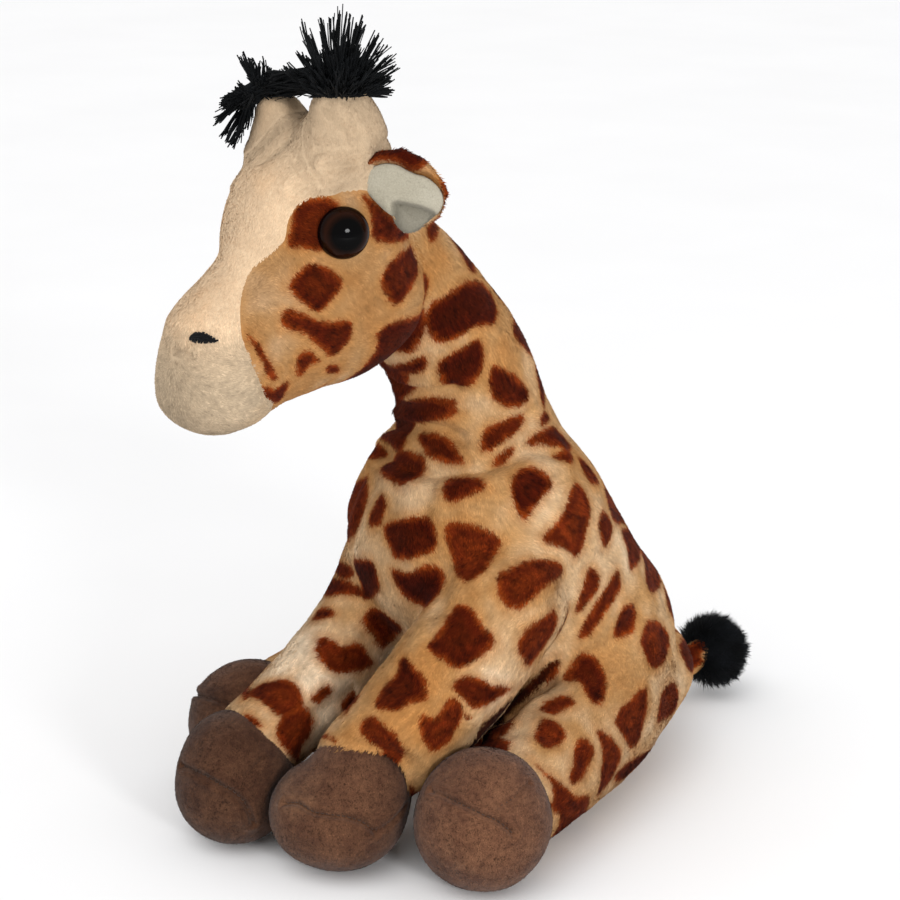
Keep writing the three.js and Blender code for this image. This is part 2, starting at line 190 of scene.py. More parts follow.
def surface(f, low=LO, step=H):
    """Surface nets: the vertices and triangles of the field's zero level."""
    inside = f < 0
    edge_cells, edge_points, quads = [], [], []
    shape = np.array(f.shape)

    def key(c):
        return (c[:, 0] * shape[1] + c[:, 1]) * shape[2] + c[:, 2]

    for ax in range(3):
        lower = [slice(None)] * 3
        upper = [slice(None)] * 3
        lower[ax], upper[ax] = slice(0, -1), slice(1, None)
        a = inside[tuple(lower)]
        idx = np.argwhere(a != inside[tuple(upper)])
        u, v = (ax + 1) % 3, (ax + 2) % 3
        idx = idx[(idx[:, u] > 0) & (idx[:, v] > 0)]
        e = np.zeros(3, int)
        e[ax] = 1
        fa = f[idx[:, 0], idx[:, 1], idx[:, 2]].astype(float)
        nxt = idx + e
        fb = f[nxt[:, 0], nxt[:, 1], nxt[:, 2]].astype(float)
        p = idx + (fa / (fa - fb))[:, None] * e
        eu, ev = np.zeros(3, int), np.zeros(3, int)
        eu[u], ev[v] = 1, 1
        around = [key(idx), key(idx - eu), key(idx - eu - ev), key(idx - ev)]
        for c in around:
            edge_cells.append(c)
            edge_points.append(p)
        q = np.stack(around, 1)
        flip = fa > 0
        q[flip] = q[flip][:, ::-1]
        quads.append(q)
    cells, points = np.concatenate(edge_cells), np.vstack(edge_points)
    found, where = np.unique(cells, return_inverse=True)
    count = np.bincount(where)
    verts = np.stack([np.bincount(where, points[:, k]) / count for k in range(3)], 1) * step + low
    quads = np.searchsorted(found, np.vstack(quads))
    tris = np.vstack([quads[:, [0, 1, 2]], quads[:, [0, 2, 3]]])
    return verts, tris


def neighbours(tris, n):
    e = np.vstack([tris[:, [0, 1]], tris[:, [1, 2]], tris[:, [2, 0]]])
    e = np.unique(np.sort(e, 1), axis=0)
    return e, np.bincount(e.ravel(), minlength=n)


def relax(verts, tris, times=3, amount=0.5):
    e, count = neighbours(tris, len(verts))
    for _ in range(times):
        mean = np.stack([np.bincount(e[:, 0], verts[e[:, 1], k], len(verts)) + np.bincount(e[:, 1], verts[e[:, 0], k], len(verts)) for k in range(3)], 1)
        mean /= np.maximum(count, 1)[:, None]
        verts = verts + (mean - verts) * amount
    return verts


def normals_of(verts, tris):
    n = np.cross(verts[tris[:, 1]] - verts[tris[:, 0]], verts[tris[:, 2]] - verts[tris[:, 0]])
    return unit(np.stack([sum(np.bincount(tris[:, c], n[:, k], len(verts)) for c in range(3)) for k in range(3)], 1))


def clip(verts, tris, g, extra=()):
    """Keeps the part of the surface where g > 0, cut exactly along g = 0. extra holds further values a vertex."""
    g = np.where(np.abs(g) < 1e-4, 1e-4, g)
    ok = g > 0
    kept = ok[tris].sum(1)
    whole = tris[kept == 3]
    part = tris[(kept > 0) & (kept < 3)]
    data = np.hstack([verts, *[np.asarray(x).reshape(len(verts), -1) for x in extra]])
    made, new_tris = {}, []
    add, base = [], len(verts)

    def cut(a, b):
        k = (a, b) if a < b else (b, a)
        if k not in made:
            t = g[k[0]] / (g[k[0]] - g[k[1]])
            made[k] = base + len(add)
            add.append(data[k[0]] * (1 - t) + data[k[1]] * t)
        return made[k]

    for tri in part.tolist():
        ring = []
        for i in range(3):
            a, b = tri[i], tri[(i + 1) % 3]
            if ok[a]:
                ring.append(a)
            if ok[a] != ok[b]:
                ring.append(cut(a, b))
        new_tris += [(ring[0], ring[i], ring[i + 1]) for i in range(1, len(ring) - 1)]
    data = np.vstack([data, np.array(add)]) if add else data
    tris = np.vstack([whole, np.array(new_tris, int).reshape(-1, 3)])
    used, back = np.unique(tris, return_inverse=True)
    return data[used], back.reshape(-1, 3)


# Half sizes at stations along each form: x, y, z, then one or three half sizes.
TORSO = [(0, 73.4, 132, 22.6, 21, 23), (0, 75.4, 119, 34.0, 30.0, 30), (0, 74.6, 100, 47, 46.9, 43), (0, 86.2, 80, 49.2, 47.4, 46.8), (0, 100, 58, 51.5, 47.2, 48.3), (0, 113, 47.5, 49, 44.2, 46)]
SEAT = ((0, 109, 37), (44, 41, 43))
RUMP = ((0, 118.8, 33.5), (51, 49, 27.5))
NECK = [(0, 16, 213, 18.5), (0, 28, 205, 20.3), (0, 39.6, 193, 21.5), (0, 51.2, 179, 23.3), (0, 62.8, 164, 24.3), (0, 70.0, 148, 25.6), (0, 75.5, 136, 25.5)]
SKULL = ((0.3, 1.2, 219), (28.1, 28.8, 31))
JAW = [(0, 22, 197, 22, 21.5, 22.5), (0, 9, 196.5, 26.5, 25, 29), (0, -12, 191.5, 23.5, 21.5, 26.5), (0, -30, 184.5, 19.5, 18, 22)]
BRIDGE = [(0, -8, 217, 25.3, 25.5, 26.5), (0, -19, 205, 20.5, 19, 21), (0, -32.5, 194, 18.5, 17, 18)]
MUZZLE = [(0, -44.2, 188.5, 18.6, 16.2, 17.2), (0, -45.5, 178.4, 20.6, 17.2, 19.5), (0, -45.4, 171.4, 20.2, 18.0, 12.7)]
CROWN = [(0.6, -4.4, 231, 20.2, 17.2, 20), (0, -3, 241.5, 16.5, 14, 14.5)]
HORNS = {"left": [(15.8, -1.6, 236, 15.8), (16.0, -2.2, 248, 14.0), (15.2, -3.2, 257.5, 10.8)], "right": [(-12.2, -3, 235, 11.6), (-13.6, -3.3, 245, 11.0), (-14.1, -3.4, 253.2, 8.7)]}
LEGS = {
    "front_left": [(33, 52, 84, 23), (33, 40, 73, 22), (29.8, 26.4, 59, 21.6), (24.9, 13, 46.2, 20.4), (19.1, 0.5, 34.7, 18.2)],
    "front_right": [(-28, 57, 78, 18.5), (-29, 47, 65, 17.5), (-28, 30, 51.5, 17.3), (-25.5, 8, 41, 17), (-24, -8, 35.5, 16.5)],
    "hind_left": [(26, 104.5, 36.5, 32), (36.5, 91, 32.5, 27.8), (46.3, 66, 28.7, 24.2), (56, 38, 25.8, 19.8), (58, 28, 24, 18.5)],
}
LEGS["hind_right"] = mirror(LEGS["hind_left"])
TAIL = [(0, 150, 27, 7), (0, 158, 22.5, 6.6), (1, 169, 17, 6.3), (4, 180, 15, 6.2), (6.5, 187.5, 17, 6.1), (8, 192.0, 20.5, 5.4)]
# Each hoof is an ankle and a toe, sewn together.
HOOVES = {
    "front_left": [((18.8, -3.4, 27.4), (19.2, 18.8, 20.2)), ((14.4, -8.7, 19.2), (24.2, 23.3, 19.2))],
    "front_right": [((-25.4, -19.5, 26.5), (20.4, 20.0, 20.8)), ((-24.9, -20.8, 20.2), (21.2, 21.0, 20.0))],
    "hind_left": [((59.8, 17.0, 24.4), (22.8, 21.6, 23.2)), ((60, 14.8, 21.9), (23.2, 22.3, 22.6))],
    "hind_right": [((-58.8, 16.4, 23.8), (21.9, 21.2, 22.5)), ((-59, 14.6, 22.4), (22.1, 21.4, 22.2))],
}


def ball_at(p, c, r):
    q, r = p - np.array(c, float), np.array(r, float)
    k0 = np.sqrt(((q / r) ** 2).sum(-1))
    k1 = np.sqrt(((q / r ** 2) ** 2).sum(-1))
    return k0 * (k0 - 1) / np.maximum(k1, 1e-5)


def hoof_alone(key, p):
    (c0, r0), (c1, r1) = HOOVES[key]
    return smin(ball_at(p, c0, r0), ball_at(p, c1, r1), 3.0)


def hoof_at(key, p):
    """Distance to a hoof. Neighbours that press together meet halfway, face to face."""
    own = hoof_alone(key, p)
    d = own
    for other in HOOVES:
        if other != key:
            d = np.maximum(d, (own - hoof_alone(other, p)) / 2 + 0.2)
    return d


t_field = chain(empty_field(), TORSO)
add_ball(t_field, *SEAT)
add_ball(t_field, *RUMP)
n_field = chain(empty_field(), NECK)
skull = empty_field()
add_ball(skull, *SKULL)
muzzle = chain(empty_field(), MUZZLE)
crown = chain(empty_field(), CROWN)
h_field = smin(smin(skull, chain(empty_field(), BRIDGE), 8), smin(chain(empty_field(), JAW), muzzle, 7), 7)
h_field = smin(h_field, crown, 5)
del skull, muzzle, crown
horn_field = np.minimum(chain(empty_field(), HORNS["left"]), chain(empty_field(), HORNS["right"]))
leg_fields = {k: chain(empty_field(), s) for k, s in LEGS.items()}
# legs that touch press flat against each other
leg_fields = {k: np.maximum.reduce([f] + [(f - g) / 2 + 0.2 for j, g in leg_fields.items() if j != k]) for k, f in leg_fields.items()}
tail_field = chain(empty_field(), TAIL, 12)

FLOOR_Z = AXES[2][None, None, :]


def on_floor(f, gap):
    """Presses the form flat on the floor, with a rounded edge."""
    return -smin(-f, FLOOR_Z - gap, 3.0)


trunk = smin(t_field, n_field, 9)
others = np.minimum.reduce([*leg_fields.values(), tail_field])


def piece_from(f, own, times=3, lap=1.2):
    """own is positive where the surface belongs to the piece. Neighbours overlap by the lap, so that no gap shows."""
    v, t = surface(f)
    v = relax(v, t, times)
    return clip(v, t, sample(own, v) + lap)


skins = {}
BLEND = {"front_left": 5, "front_right": 5, "hind_left": 8, "hind_right": 8}
torso_all = np.minimum.reduce([smin(trunk, f, BLEND[k]) for k, f in leg_fields.items()] + [smin(trunk, tail_field, 3)])
skins["torso"] = piece_from(on_floor(torso_all + PILE, 1.0), np.minimum(others, n_field) - t_field)
for name, f in leg_fields.items():
    skins[name + "_leg"] = piece_from(on_floor(smin(trunk, f, BLEND[name]) + PILE, 1.0), np.minimum(t_field, n_field) - f)
skins["tail"] = piece_from(smin(trunk, tail_field, 3) + PILE * 0.6, np.minimum(t_field, n_field) - tail_field)
neck_all = smin(trunk, h_field, 2.5)
skins["neck"] = piece_from(neck_all + PILE, np.minimum(t_field, h_field) - n_field)
head_all = smin(smin(h_field, n_field, 2.5), horn_field, 6)
skins["head"] = piece_from(head_all + PILE * 0.8, n_field - h_field)
del torso_all, neck_all, head_all, trunk, others

# The legs end inside their hooves. The cuff of the near front leg lies in a plane, through points seen by the camera.
def on_ball(px, py, c, r):
    o, d = ray(px, py)
    c, r = np.array(c), np.array(r)
    a, b = (d / r) @ (d / r), 2 * ((o - c) / r) @ (d / r)
    k = ((o - c) / r) @ ((o - c) / r) - 1
    return o + d * (-b - math.sqrt(max(b * b - 4 * a * k, 0))) / (2 * a)


cuff = [on_ball(*q, *HOOVES["front_left"][0]) for q in ((322, 751), (370, 757), (406, 787))]
cuff_at, cuff_n = cuff[1], unit(np.cross(cuff[2] - cuff[0], cuff[1] - cuff[0]))
if cuff_n @ (np.array(LEGS["front_left"][1][:3]) - cuff_at) < 0:
    cuff_n = -cuff_n
for name in HOOVES:
    v, t = skins[name + "_leg"]
    v, t = clip(v, t, hoof_alone(name, v[:, :3]) + 2.0)
    if name == "front_left":
        v, t = clip(v, t, (v - cuff_at) @ cuff_n + 0.2)
        over = np.maximum(hoof_alone(name, v) + 0.5, 0) * smooth(5, 0, (v - cuff_at) @ cuff_n)
        v = v - normals_of(v, t) * over[:, None]
    skins[name + "_leg"] = (v, t)

# ------------------------------------------------------------------ points named by the camera's pixels
view_v = np.vstack([s[0] for s in skins.values()])
starts = np.cumsum([0] + [len(s[0]) for s in skins.values()])
view_t = np.vstack([s[1] + starts[i] for i, s in enumerate(skins.values())])
owner = np.concatenate([np.full(len(s[1]), i) for i, s in enumerate(skins.values())])
SKIN_NAMES = list(skins)
tree = BVHTree.FromPolygons(view_v.tolist(), view_t.tolist())


def look(px, py):
    """The surface point that the camera sees at a pixel: its place, outward normal, piece and whether the ray passed by."""
    o, d = ray(px, py)
    p, n, i, _ = tree.ray_cast(Vector(o), Vector(d), 1500)
    if p is not None:
        return np.array(p), np.array(n), SKIN_NAMES[owner[i]], False
    best = None
    for s in np.linspace(690, 960, 46):
        q, n, i, far = tree.find_nearest(Vector(o + d * s))
        if best is None or far < best[0]:
            best = (far, np.array(q), np.array(n), SKIN_NAMES[owner[i]])
    return best[1], best[2], best[3], True


def seen(p, n):
    d = p - EYE_POINT
    if np.dot(n, d) > 0:
        return False
    far = np.linalg.norm(d)
    q, _, _, s = tree.ray_cast(Vector(EYE_POINT), Vector(d / far), 1500)
    return q is None or s > far - 4


# ------------------------------------------------------------------ folds, seams and other surface moves
def polyline_distance(p, line):
    best = np.full(len(p), 1e9)
    for a, b in zip(line[:-1], line[1:]):
        ab = b - a
        t = np.clip(((p - a) @ ab) / max(ab @ ab, 1e-9), 0, 1)
        best = np.minimum(best, np.linalg.norm(p - a - t[:, None] * ab, axis=1))
    return best


FOLDS = [  # pixels along the fold, depth, half width, swell beside it
    ([(326, 107), (340, 118), (353, 132), (357, 149)], 1.0, 1.7, 0.6),
    ([(328, 167), (349, 166), (363, 161)], 1.2, 1.5, 0.9),
    ([(296, 189), (312, 181), (326, 176), (352, 169)], 0.9, 1.7, 0.7),
    ([(318, 152), (335, 156), (352, 154)], 0.5, 1.6, 0.3),
    ([(300, 108), (292, 128), (279, 146), (262, 160)], 0.8, 2.4, 0.3),
    ([(345, 104), (349, 125), (352, 140)], 0.5, 1.4, 0.3),
    ([(380, 371), (398, 384), (428, 390), (452, 386)], 1.9, 2.4, 1.1),
    ([(386, 402), (408, 405), (440, 396), (465, 392)], 1.6, 2.3, 1.0),
    ([(388, 429), (412, 424), (440, 428), (462, 436)], 1.7, 2.4, 1.1),
    ([(384, 452), (405, 468), (436, 472), (470, 470), (500, 462), (528, 448), (552, 453)], 2.0, 3.0, 1.2),
    ([(478, 430), (505, 418), (528, 414)], 0.8, 2.2, 0.5),
    ([(192, 345), (184, 351), (176, 350)], 0.9, 1.2, 0.3),
    ([(365, 480), (352, 510), (347, 545)], 0.7, 2.4, 0.4),
    ([(446, 470), (425, 500), (428, 540), (446, 580), (440, 610)], 0.8, 3.6, 0.5),
    ([(556, 600), (580, 570), (612, 548)], 1.2, 4.0, 0.6),
    ([(545, 690), (580, 660), (612, 640), (640, 600)], 0.8, 3.2, 0.6),
    ([(520, 730), (560, 740), (590, 770)], 0.7, 3.0, 0.4),
    ([(430, 640), (440, 680), (470, 706)], 0.9, 3.4, 0.5),
    ([(300, 720), (330, 705), (352, 690)], 0.7, 2.6, 0.4),
    ([(484, 736), (500, 723), (518, 707), (536, 692), (550, 679)], 3.2, 2.2, 0.7),
]
SEAM_PIXELS = [(273, 410), (268, 398), (262, 384), (254, 366), (247, 348), (243, 330), (243, 306), (250, 279), (266, 259), (285, 241), (289, 222), (299, 205), (317, 196), (336, 196), (352, 187), (364, 174), (374, 158)]
def in_ring(p, ring):
    inside = np.zeros(len(p), bool)
    for a, b in zip(ring, np.roll(ring, -1, 0)):
        cross = (a[1] > p[:, 1]) != (b[1] > p[:, 1])
        with np.errstate(divide="ignore", invalid="ignore"):
            x = (b[0] - a[0]) * (p[:, 1] - a[1]) / (b[1] - a[1]) + a[0]
        inside ^= cross & (p[:, 0] < x)
    return inside


def ring_distance(p, ring, closed=True):
    best = np.full(len(p), 1e9)
    ends = np.roll(ring, -1, 0) if closed else ring[1:]
    for a, b in zip(ring if closed else ring[:-1], ends):
        ab = b - a
        t = np.clip(((p - a) @ ab) / max(ab @ ab, 1e-9), 0, 1)
        best = np.minimum(best, np.hypot(*(p - a - t[:, None] * ab).T))
    return best


seam_hits = np.array([look(*q)[0][1:3] for q in SEAM_PIXELS])
SEAM = catmull(np.vstack([[(seam_hits[0, 0] + 1, 150)], seam_hits, [(9, 250), (18, 256), (30, 268)]]), 5)
SEAM_RING = np.vstack([[(-120, 150)], SEAM, [(30, 330), (-120, 330)]])


def seam_side(p):
    """Positive on the plain face cloth, negative on the printed cheeks."""
    q = p[:, 1:3] - np.stack([6 * smooth(0, 14, -p[:, 0]), np.zeros(len(p))], 1)
    return ring_distance(q, SEAM, False) * np.where(in_ring(q, SEAM_RING), 1, -1)


folds = []
for pixels, depth, wide, swell in FOLDS:
    line = catmull([look(*q)[0] for q in pixels], 6)
    folds.append((line, depth, wide, swell))
    # the far side of the head and neck has the same folds
    if abs(line[:, 0]).min() > 3:
        folds.append((line * [-1, 1, 1], depth, wide, swell))

for name, (v, t) in list(skins.items()):
    n = normals_of(v, t)
    move = 0.55 * noise3(v, 17, 1) + 0.25 * noise3(v, 7, 2)
    for line, depth, wide, swell in folds:
        lo, hi = line.min(0) - 4 * wide, line.max(0) + 4 * wide
        near = np.flatnonzero(((v > lo) & (v < hi)).all(1))
        if len(near) == 0:
            continue
        d = polyline_distance(v[near], line) / wide
        move[near] += swell * np.exp(-(d - 2) ** 2) - depth * np.exp(-d * d)
    if name == "head":
        move -= 1.0 * np.exp(-(seam_side(v) / 1.5) ** 2) * (v[:, 2] > 158)
        h = sample(h_field - n_field, v)
        move -= 1.2 * np.exp(-(h / 2.2) ** 2)
    if name == "neck":
        h = sample(h_field - n_field, v)
        move -= 1.2 * np.exp(-(h / 2.2) ** 2)
    # pieces meet where their own fields meet, so moves fade only where the floor is
    move *= smooth(0.5, 4, v[:, 2])
    skins[name] = (v + n * move[:, None], t)

# The head comes apart along the seams into the face, both cheeks and the two horns.
v, t = skins.pop("head")
side = seam_side(v)
horn = sample(h_field - horn_field, v) - 1.0
side = np.where(v[:, 2] > 236, np.maximum(side, horn), side)
front, front_t = clip(v, t, side, [horn])
face, face_t = clip(front[:, :3], front_t, -front[:, 3])
skins["face"] = (face, face_t)
for label, sign in (("left", 1), ("right", -1)):
    tips, tips_t = clip(front[:, :3], front_t, front[:, 3])
    skins["horn_" + label] = clip(tips, tips_t, tips[:, 0] * sign)
    cheek, cheek_t = clip(v, t, -side)
    skins["cheek_" + label] = clip(cheek, cheek_t, cheek[:, 0] * sign)
skins = {k: (v, t, normals_of(v, t)) for k, (v, t) in skins.items()}

# ------------------------------------------------------------------ printed patches, and dark strips of painted shade
# Each patch is a rounded shape: pixels of its corners, as the camera sees it.
PATCHES = [
    # head
    [(288, 246), (290, 227), (295, 208), (312, 197), (334, 200), (346, 213), (352, 238), (332, 251), (306, 249)],
    [(361, 194), (376, 203), (390, 214), (411, 236), (400, 242), (374, 240), (371, 218)],
    [(288, 283), (312, 263), (341, 277), (339, 290), (320, 312), (305, 306), (290, 292)],
    [(282, 313), (290, 309), (308, 315), (326, 321), (351, 321), (348, 342), (333, 355), (322, 351), (303, 334), (282, 327)],
    [(381, 277), (395, 257), (413, 245), (420, 262), (411, 288), (397, 306), (387, 297)],
    [(425, 276), (431, 279), (429, 295), (425, 305)],
    [(350, 381), (374, 353), (377, 333), (397, 320), (425, 312), (425, 331), (402, 353), (378, 368)],
    [(298, 354), (308, 351), (320, 360), (311, 366), (300, 376), (295, 368)],
    [(326, 367), (338, 365), (339, 373), (328, 374)],
    [(248, 336), (257, 342), (267, 358), (277, 377), (269, 379), (260, 361)],
    [(265, 386), (274, 388), (288, 381), (286, 392), (277, 404), (266, 401)],
    [(288, 402), (306, 393), (310, 399), (294, 408)],
    # neck
    [(425, 317), (437, 300), (466, 281), (482, 283), (495, 302), (494, 324), (474, 327), (456, 339), (433, 341)],
    [(437, 363), (463, 346), (478, 338), (484, 350), (483, 364), (475, 379), (446, 386)],
    [(490, 367), (506, 369), (522, 381), (528, 394), (522, 404), (506, 407), (491, 396)],
    [(388, 367), (420, 356), (427, 363), (423, 371), (402, 377), (388, 381)],
    # painted shade: a dark patch at the front edge of the throat, under the chin
    [(389, 382), (403, 380), (405, 392), (398, 402), (390, 398)],
    [(398, 402), (416, 398), (453, 398), (459, 408), (455, 415), (438, 419), (411, 426), (394, 416)],
    [(420, 434), (440, 434), (453, 442), (466, 459), (456, 465), (433, 459), (424, 448)],
    [(478, 447), (484, 431), (499, 421), (521, 414), (522, 423), (506, 439), (487, 452)],
    [(526, 441), (536, 433), (551, 426), (562, 434), (570, 446), (569, 453), (551, 446), (536, 444)],
    [(537, 428), (539, 416), (546, 412), (550, 419)],
    [(513, 330), (519, 328), (527, 343), (527, 352)],
    [(534, 366), (540, 374), (545, 400), (542, 406)],
    [(459, 248), (467, 254), (474, 268), (470, 272)],
    [(427, 226), (435, 222), (438, 236), (431, 242)],
    [(397, 420), (407, 428), (408, 449), (398, 450)],
    [(381, 470), (397, 453), (425, 457), (420, 473), (406, 487), (392, 482)],
    [(493, 464), (502, 451), (516, 447), (506, 462)],
    [(371, 452), (381, 444), (384, 450), (374, 462)],
    # chest, back and flank
    [(347, 516), (352, 496), (360, 480), (371, 478), (362, 512), (353, 535), (348, 530)],
    [(370, 525), (374, 506), (384, 494), (387, 507), (381, 524)],
    [(386, 523), (425, 516), (437, 532), (432, 551), (400, 560), (388, 542)],
    [(446, 480), (478, 478), (486, 488), (469, 497), (447, 503)],
    [(446, 526), (471, 524), (489, 531), (502, 543), (487, 569), (469, 581), (455, 572)],
    [(510, 486), (514, 472), (533, 467), (552, 484), (536, 505), (524, 521), (514, 509)],
    [(541, 539), (560, 516), (573, 483), (584, 490), (590, 511), (586, 532), (577, 556), (563, 549)],
    [(597, 525), (602, 510), (610, 525), (610, 544), (601, 543)],
    [(603, 483), (613, 501), (622, 517), (615, 524), (608, 507)],
    [(578, 458), (588, 465), (598, 482), (591, 485), (583, 473)],
    [(622, 529), (636, 533), (639, 544), (635, 567), (629, 567), (625, 546)],
    [(643, 549), (652, 559), (660, 583), (650, 593), (645, 576)],
    [(496, 578), (512, 567), (536, 559), (558, 563), (563, 574), (546, 587), (520, 609), (502, 602)],
    [(576, 612), (579, 592), (590, 569), (599, 576), (592, 597)],
    [(577, 637), (588, 613), (614, 570), (620, 587), (606, 611), (588, 634)],
    # painted shade: this patch gets the darkest tone, 0, for the shade where the chest meets the near front leg
    [(391, 569), (410, 572), (432, 564), (444, 576), (440, 592), (425, 609), (406, 598)],
    [(354, 560), (370, 559), (379, 578), (379, 592), (366, 599), (360, 581)],
    [(338, 563), (350, 565), (355, 574), (341, 578)],
    [(519, 642), (531, 624), (555, 609), (550, 638), (531, 664), (521, 656)],
    [(667, 587), (675, 602), (685, 625), (685, 642), (677, 632), (669, 611)],
    [(555, 455), (565, 450), (573, 458), (566, 466)],
    # near front leg
    [(427, 644), (440, 631), (455, 606), (471, 607), (483, 624), (494, 638), (487, 652), (459, 669), (435, 655)],
    [(376, 707), (382, 689), (395, 675), (403, 657), (418, 669), (427, 682), (428, 700), (410, 704), (394, 712)],
    [(360, 726), (371, 716), (385, 723), (400, 741), (405, 757), (396, 764), (381, 752), (367, 739)],
    [(419, 727), (422, 715), (435, 717), (444, 703), (456, 698), (464, 709), (457, 727), (451, 740), (435, 751), (425, 745)],
    [(453, 686), (461, 676), (472, 675), (491, 684), (512, 688), (497, 698), (475, 708), (463, 700)],
    [(338, 744), (350, 746), (367, 758), (358, 760), (345, 752)],
    [(402, 783), (413, 786), (410, 795), (402, 792)],
    [(341, 708), (344, 698), (356, 691), (359, 696), (350, 708), (345, 714)],
    # far front leg
    [(315, 647), (320, 637), (335, 641), (341, 646), (358, 642), (369, 653), (374, 664), (359, 672), (335, 673), (319, 660)],
    [(247, 695), (261, 684), (284, 679), (299, 689), (304, 705), (294, 716), (279, 716), (262, 702)],
    [(281, 716), (303, 706), (314, 721), (310, 734), (301, 748), (297, 763), (284, 749), (275, 733)],
    [(310, 701), (315, 693), (327, 686), (331, 693), (321, 702)],
    [(326, 596), (330, 582), (348, 580), (363, 590), (368, 598), (348, 595)],
    [(312, 620), (321, 608), (330, 608), (335, 614), (322, 619)],
    [(362, 619), (374, 607), (387, 614), (402, 628), (396, 637), (384, 648), (372, 636)],
    [(244, 715), (253, 716), (263, 727), (253, 725)],
    [(240, 690), (250, 680), (256, 676), (250, 688)],
    # near hind leg
    [(540, 711), (546, 703), (568, 697), (575, 704), (563, 711), (553, 715)],
    [(534, 736), (543, 720), (559, 724), (566, 738), (552, 748), (541, 746)],
    [(569, 778), (574, 761), (577, 740), (588, 740), (594, 754), (587, 772), (575, 784)],
    [(597, 731), (609, 735), (621, 751), (617, 769), (606, 786), (596, 795), (600, 772), (602, 754)],
    [(615, 723), (619, 710), (634, 695), (646, 687), (648, 704), (643, 726), (638, 744), (630, 748), (622, 734)],
    [(657, 720), (661, 694), (672, 682), (678, 692), (672, 712), (661, 721)],
    [(563, 680), (574, 660), (582, 652), (593, 654), (602, 669), (607, 684), (602, 703), (590, 701), (579, 684)],
    [(534, 780), (543, 769), (552, 785), (553, 801), (547, 808), (540, 793)],
    [(558, 802), (574, 797), (587, 795), (587, 806), (572, 821), (556, 836), (560, 817)],
    [(474, 748), (484, 740), (500, 737), (510, 744), (504, 752), (488, 752)],
    [(488, 732), (499, 727), (516, 720), (509, 731), (495, 736)],
    [(614, 777), (631, 760), (650, 750), (641, 766), (622, 780)],
    [(613, 628), (620, 608), (632, 603), (637, 614), (630, 633), (618, 638)],
    [(638, 640), (645, 621), (661, 624), (669, 637), (666, 658), (652, 669), (643, 653)],
    [(548, 668), (560, 664), (556, 676), (546, 684)],
    # painted shade: a thin dark strip laid along the crease between the near front leg and the near hind leg
    [(476, 742), (492, 729), (510, 713), (528, 697), (545, 683), (560, 665), (556, 658), (541, 670), (522, 689), (504, 705), (486, 722), (474, 734)],
    # tail
    [(689, 640), (699, 640), (701, 655), (696, 668), (689, 672)],
    # front edge of the neck: a dark strip of painted shade under the chin
    [(384, 366), (398, 370), (411, 378), (412, 392), (408, 402), (411, 416), (412, 430), (409, 444), (400, 450), (390, 440), (388, 416), (386, 398), (384, 384)],
]
# How light the middle of a patch is, from 0, dark brown, to 1, light rust, by its place in the list. The tones are
# partly the print's own rust and chocolate and partly painted light: patches that face the light get lighter tones, and
# patch 45 gets 0 as painted shade.
TONES = {2: 0.35, 3: 0.25, 4: 0.3, 6: 0.15, 7: 0.4, 12: 0.1, 13: 0.1, 14: 0.15, 18: 0.35, 19: 0.45, 20: 0.2, 29: 0.8, 30: 0.9, 31: 0.6, 32: 0.15, 33: 0.35, 34: 0.95, 35: 0.05,
         36: 0.9, 37: 0.6, 38: 0.8, 39: 0.8, 40: 0.6, 41: 0.8, 42: 0.75, 43: 0.8, 44: 0.85, 45: 0.0, 46: 0.1, 47: 0.7, 48: 1.0, 49: 0.8, 51: 0.25, 52: 0.2, 53: 0.7, 54: 0.65, 55: 0.3,
         59: 0.75, 60: 0.7, 61: 0.8, 63: 0.6, 65: 0.35, 68: 0.85, 69: 0.85, 70: 0.7, 71: 0.75, 72: 0.7, 73: 0.8, 74: 0.3, 75: 0.75, 76: 0.8, 77: 0.7, 80: 0.4, 81: 0.75, 87: 0.8, 88: 0.25}
HEAD_SET = {"head"}
BOTH = (5, 6)                   # patches that run over the border of head and neck


def make_patch(points, normals, missed, where):
    c, n = points.mean(0), unit(normals.mean(0))
    u = unit(np.cross(n, [0.13, 0.2, 0.97]))
    w = np.cross(n, u)
    q = np.stack([(points - c) @ u, (points - c) @ w], 1)
    far = np.hypot(*q.T)
    q[missed] *= ((far + 6) / np.maximum(far, 1))[missed][:, None]
    return {"c": c, "n": n, "u": u, "w": w, "ring": catmull(q, 5, True), "r": float(np.hypot(*q.T).max()),
            "deep": float(np.abs((points - c) @ n).max()) + 3.5, "head": where in HEAD_SET}


patches = []
for k, corners in enumerate(PATCHES):
    found = [look(*q) for q in corners]
    names = [f[2] for f in found]
    patches.append(make_patch(np.array([f[0] for f in found]), np.array([f[1] for f in found]), np.array([f[3] for f in found]), max(set(names), key=names.count)))
    # the strip in the leg crease gets tone -1, which darkens it further as painted shade
    patches[-1]["tone"] = -1.0 if corners[0] == (476, 742) else TONES.get(k, 0.35)
    if k in BOTH:
        patches[-1]["head"] = None

# The side away from the camera repeats the near side's patches, where it is out of view.
rng = np.random.default_rng(5)
flip = np.array([-1, 1, 1])
for p in list(patches):
    if p["c"][0] < 6:
        continue
    q = dict(p, c=p["c"] * flip, n=p["n"] * flip, u=p["u"] * flip, w=p["w"] * flip)
    at, n, i, _ = tree.find_nearest(Vector(q["c"]))
    if seen(np.array(at), np.array(n)):
        continue
    if any(np.linalg.norm(q["c"] - x["c"]) < 0.75 * (q["r"] + x["r"]) for x in patches):
        continue
    patches.append(q)
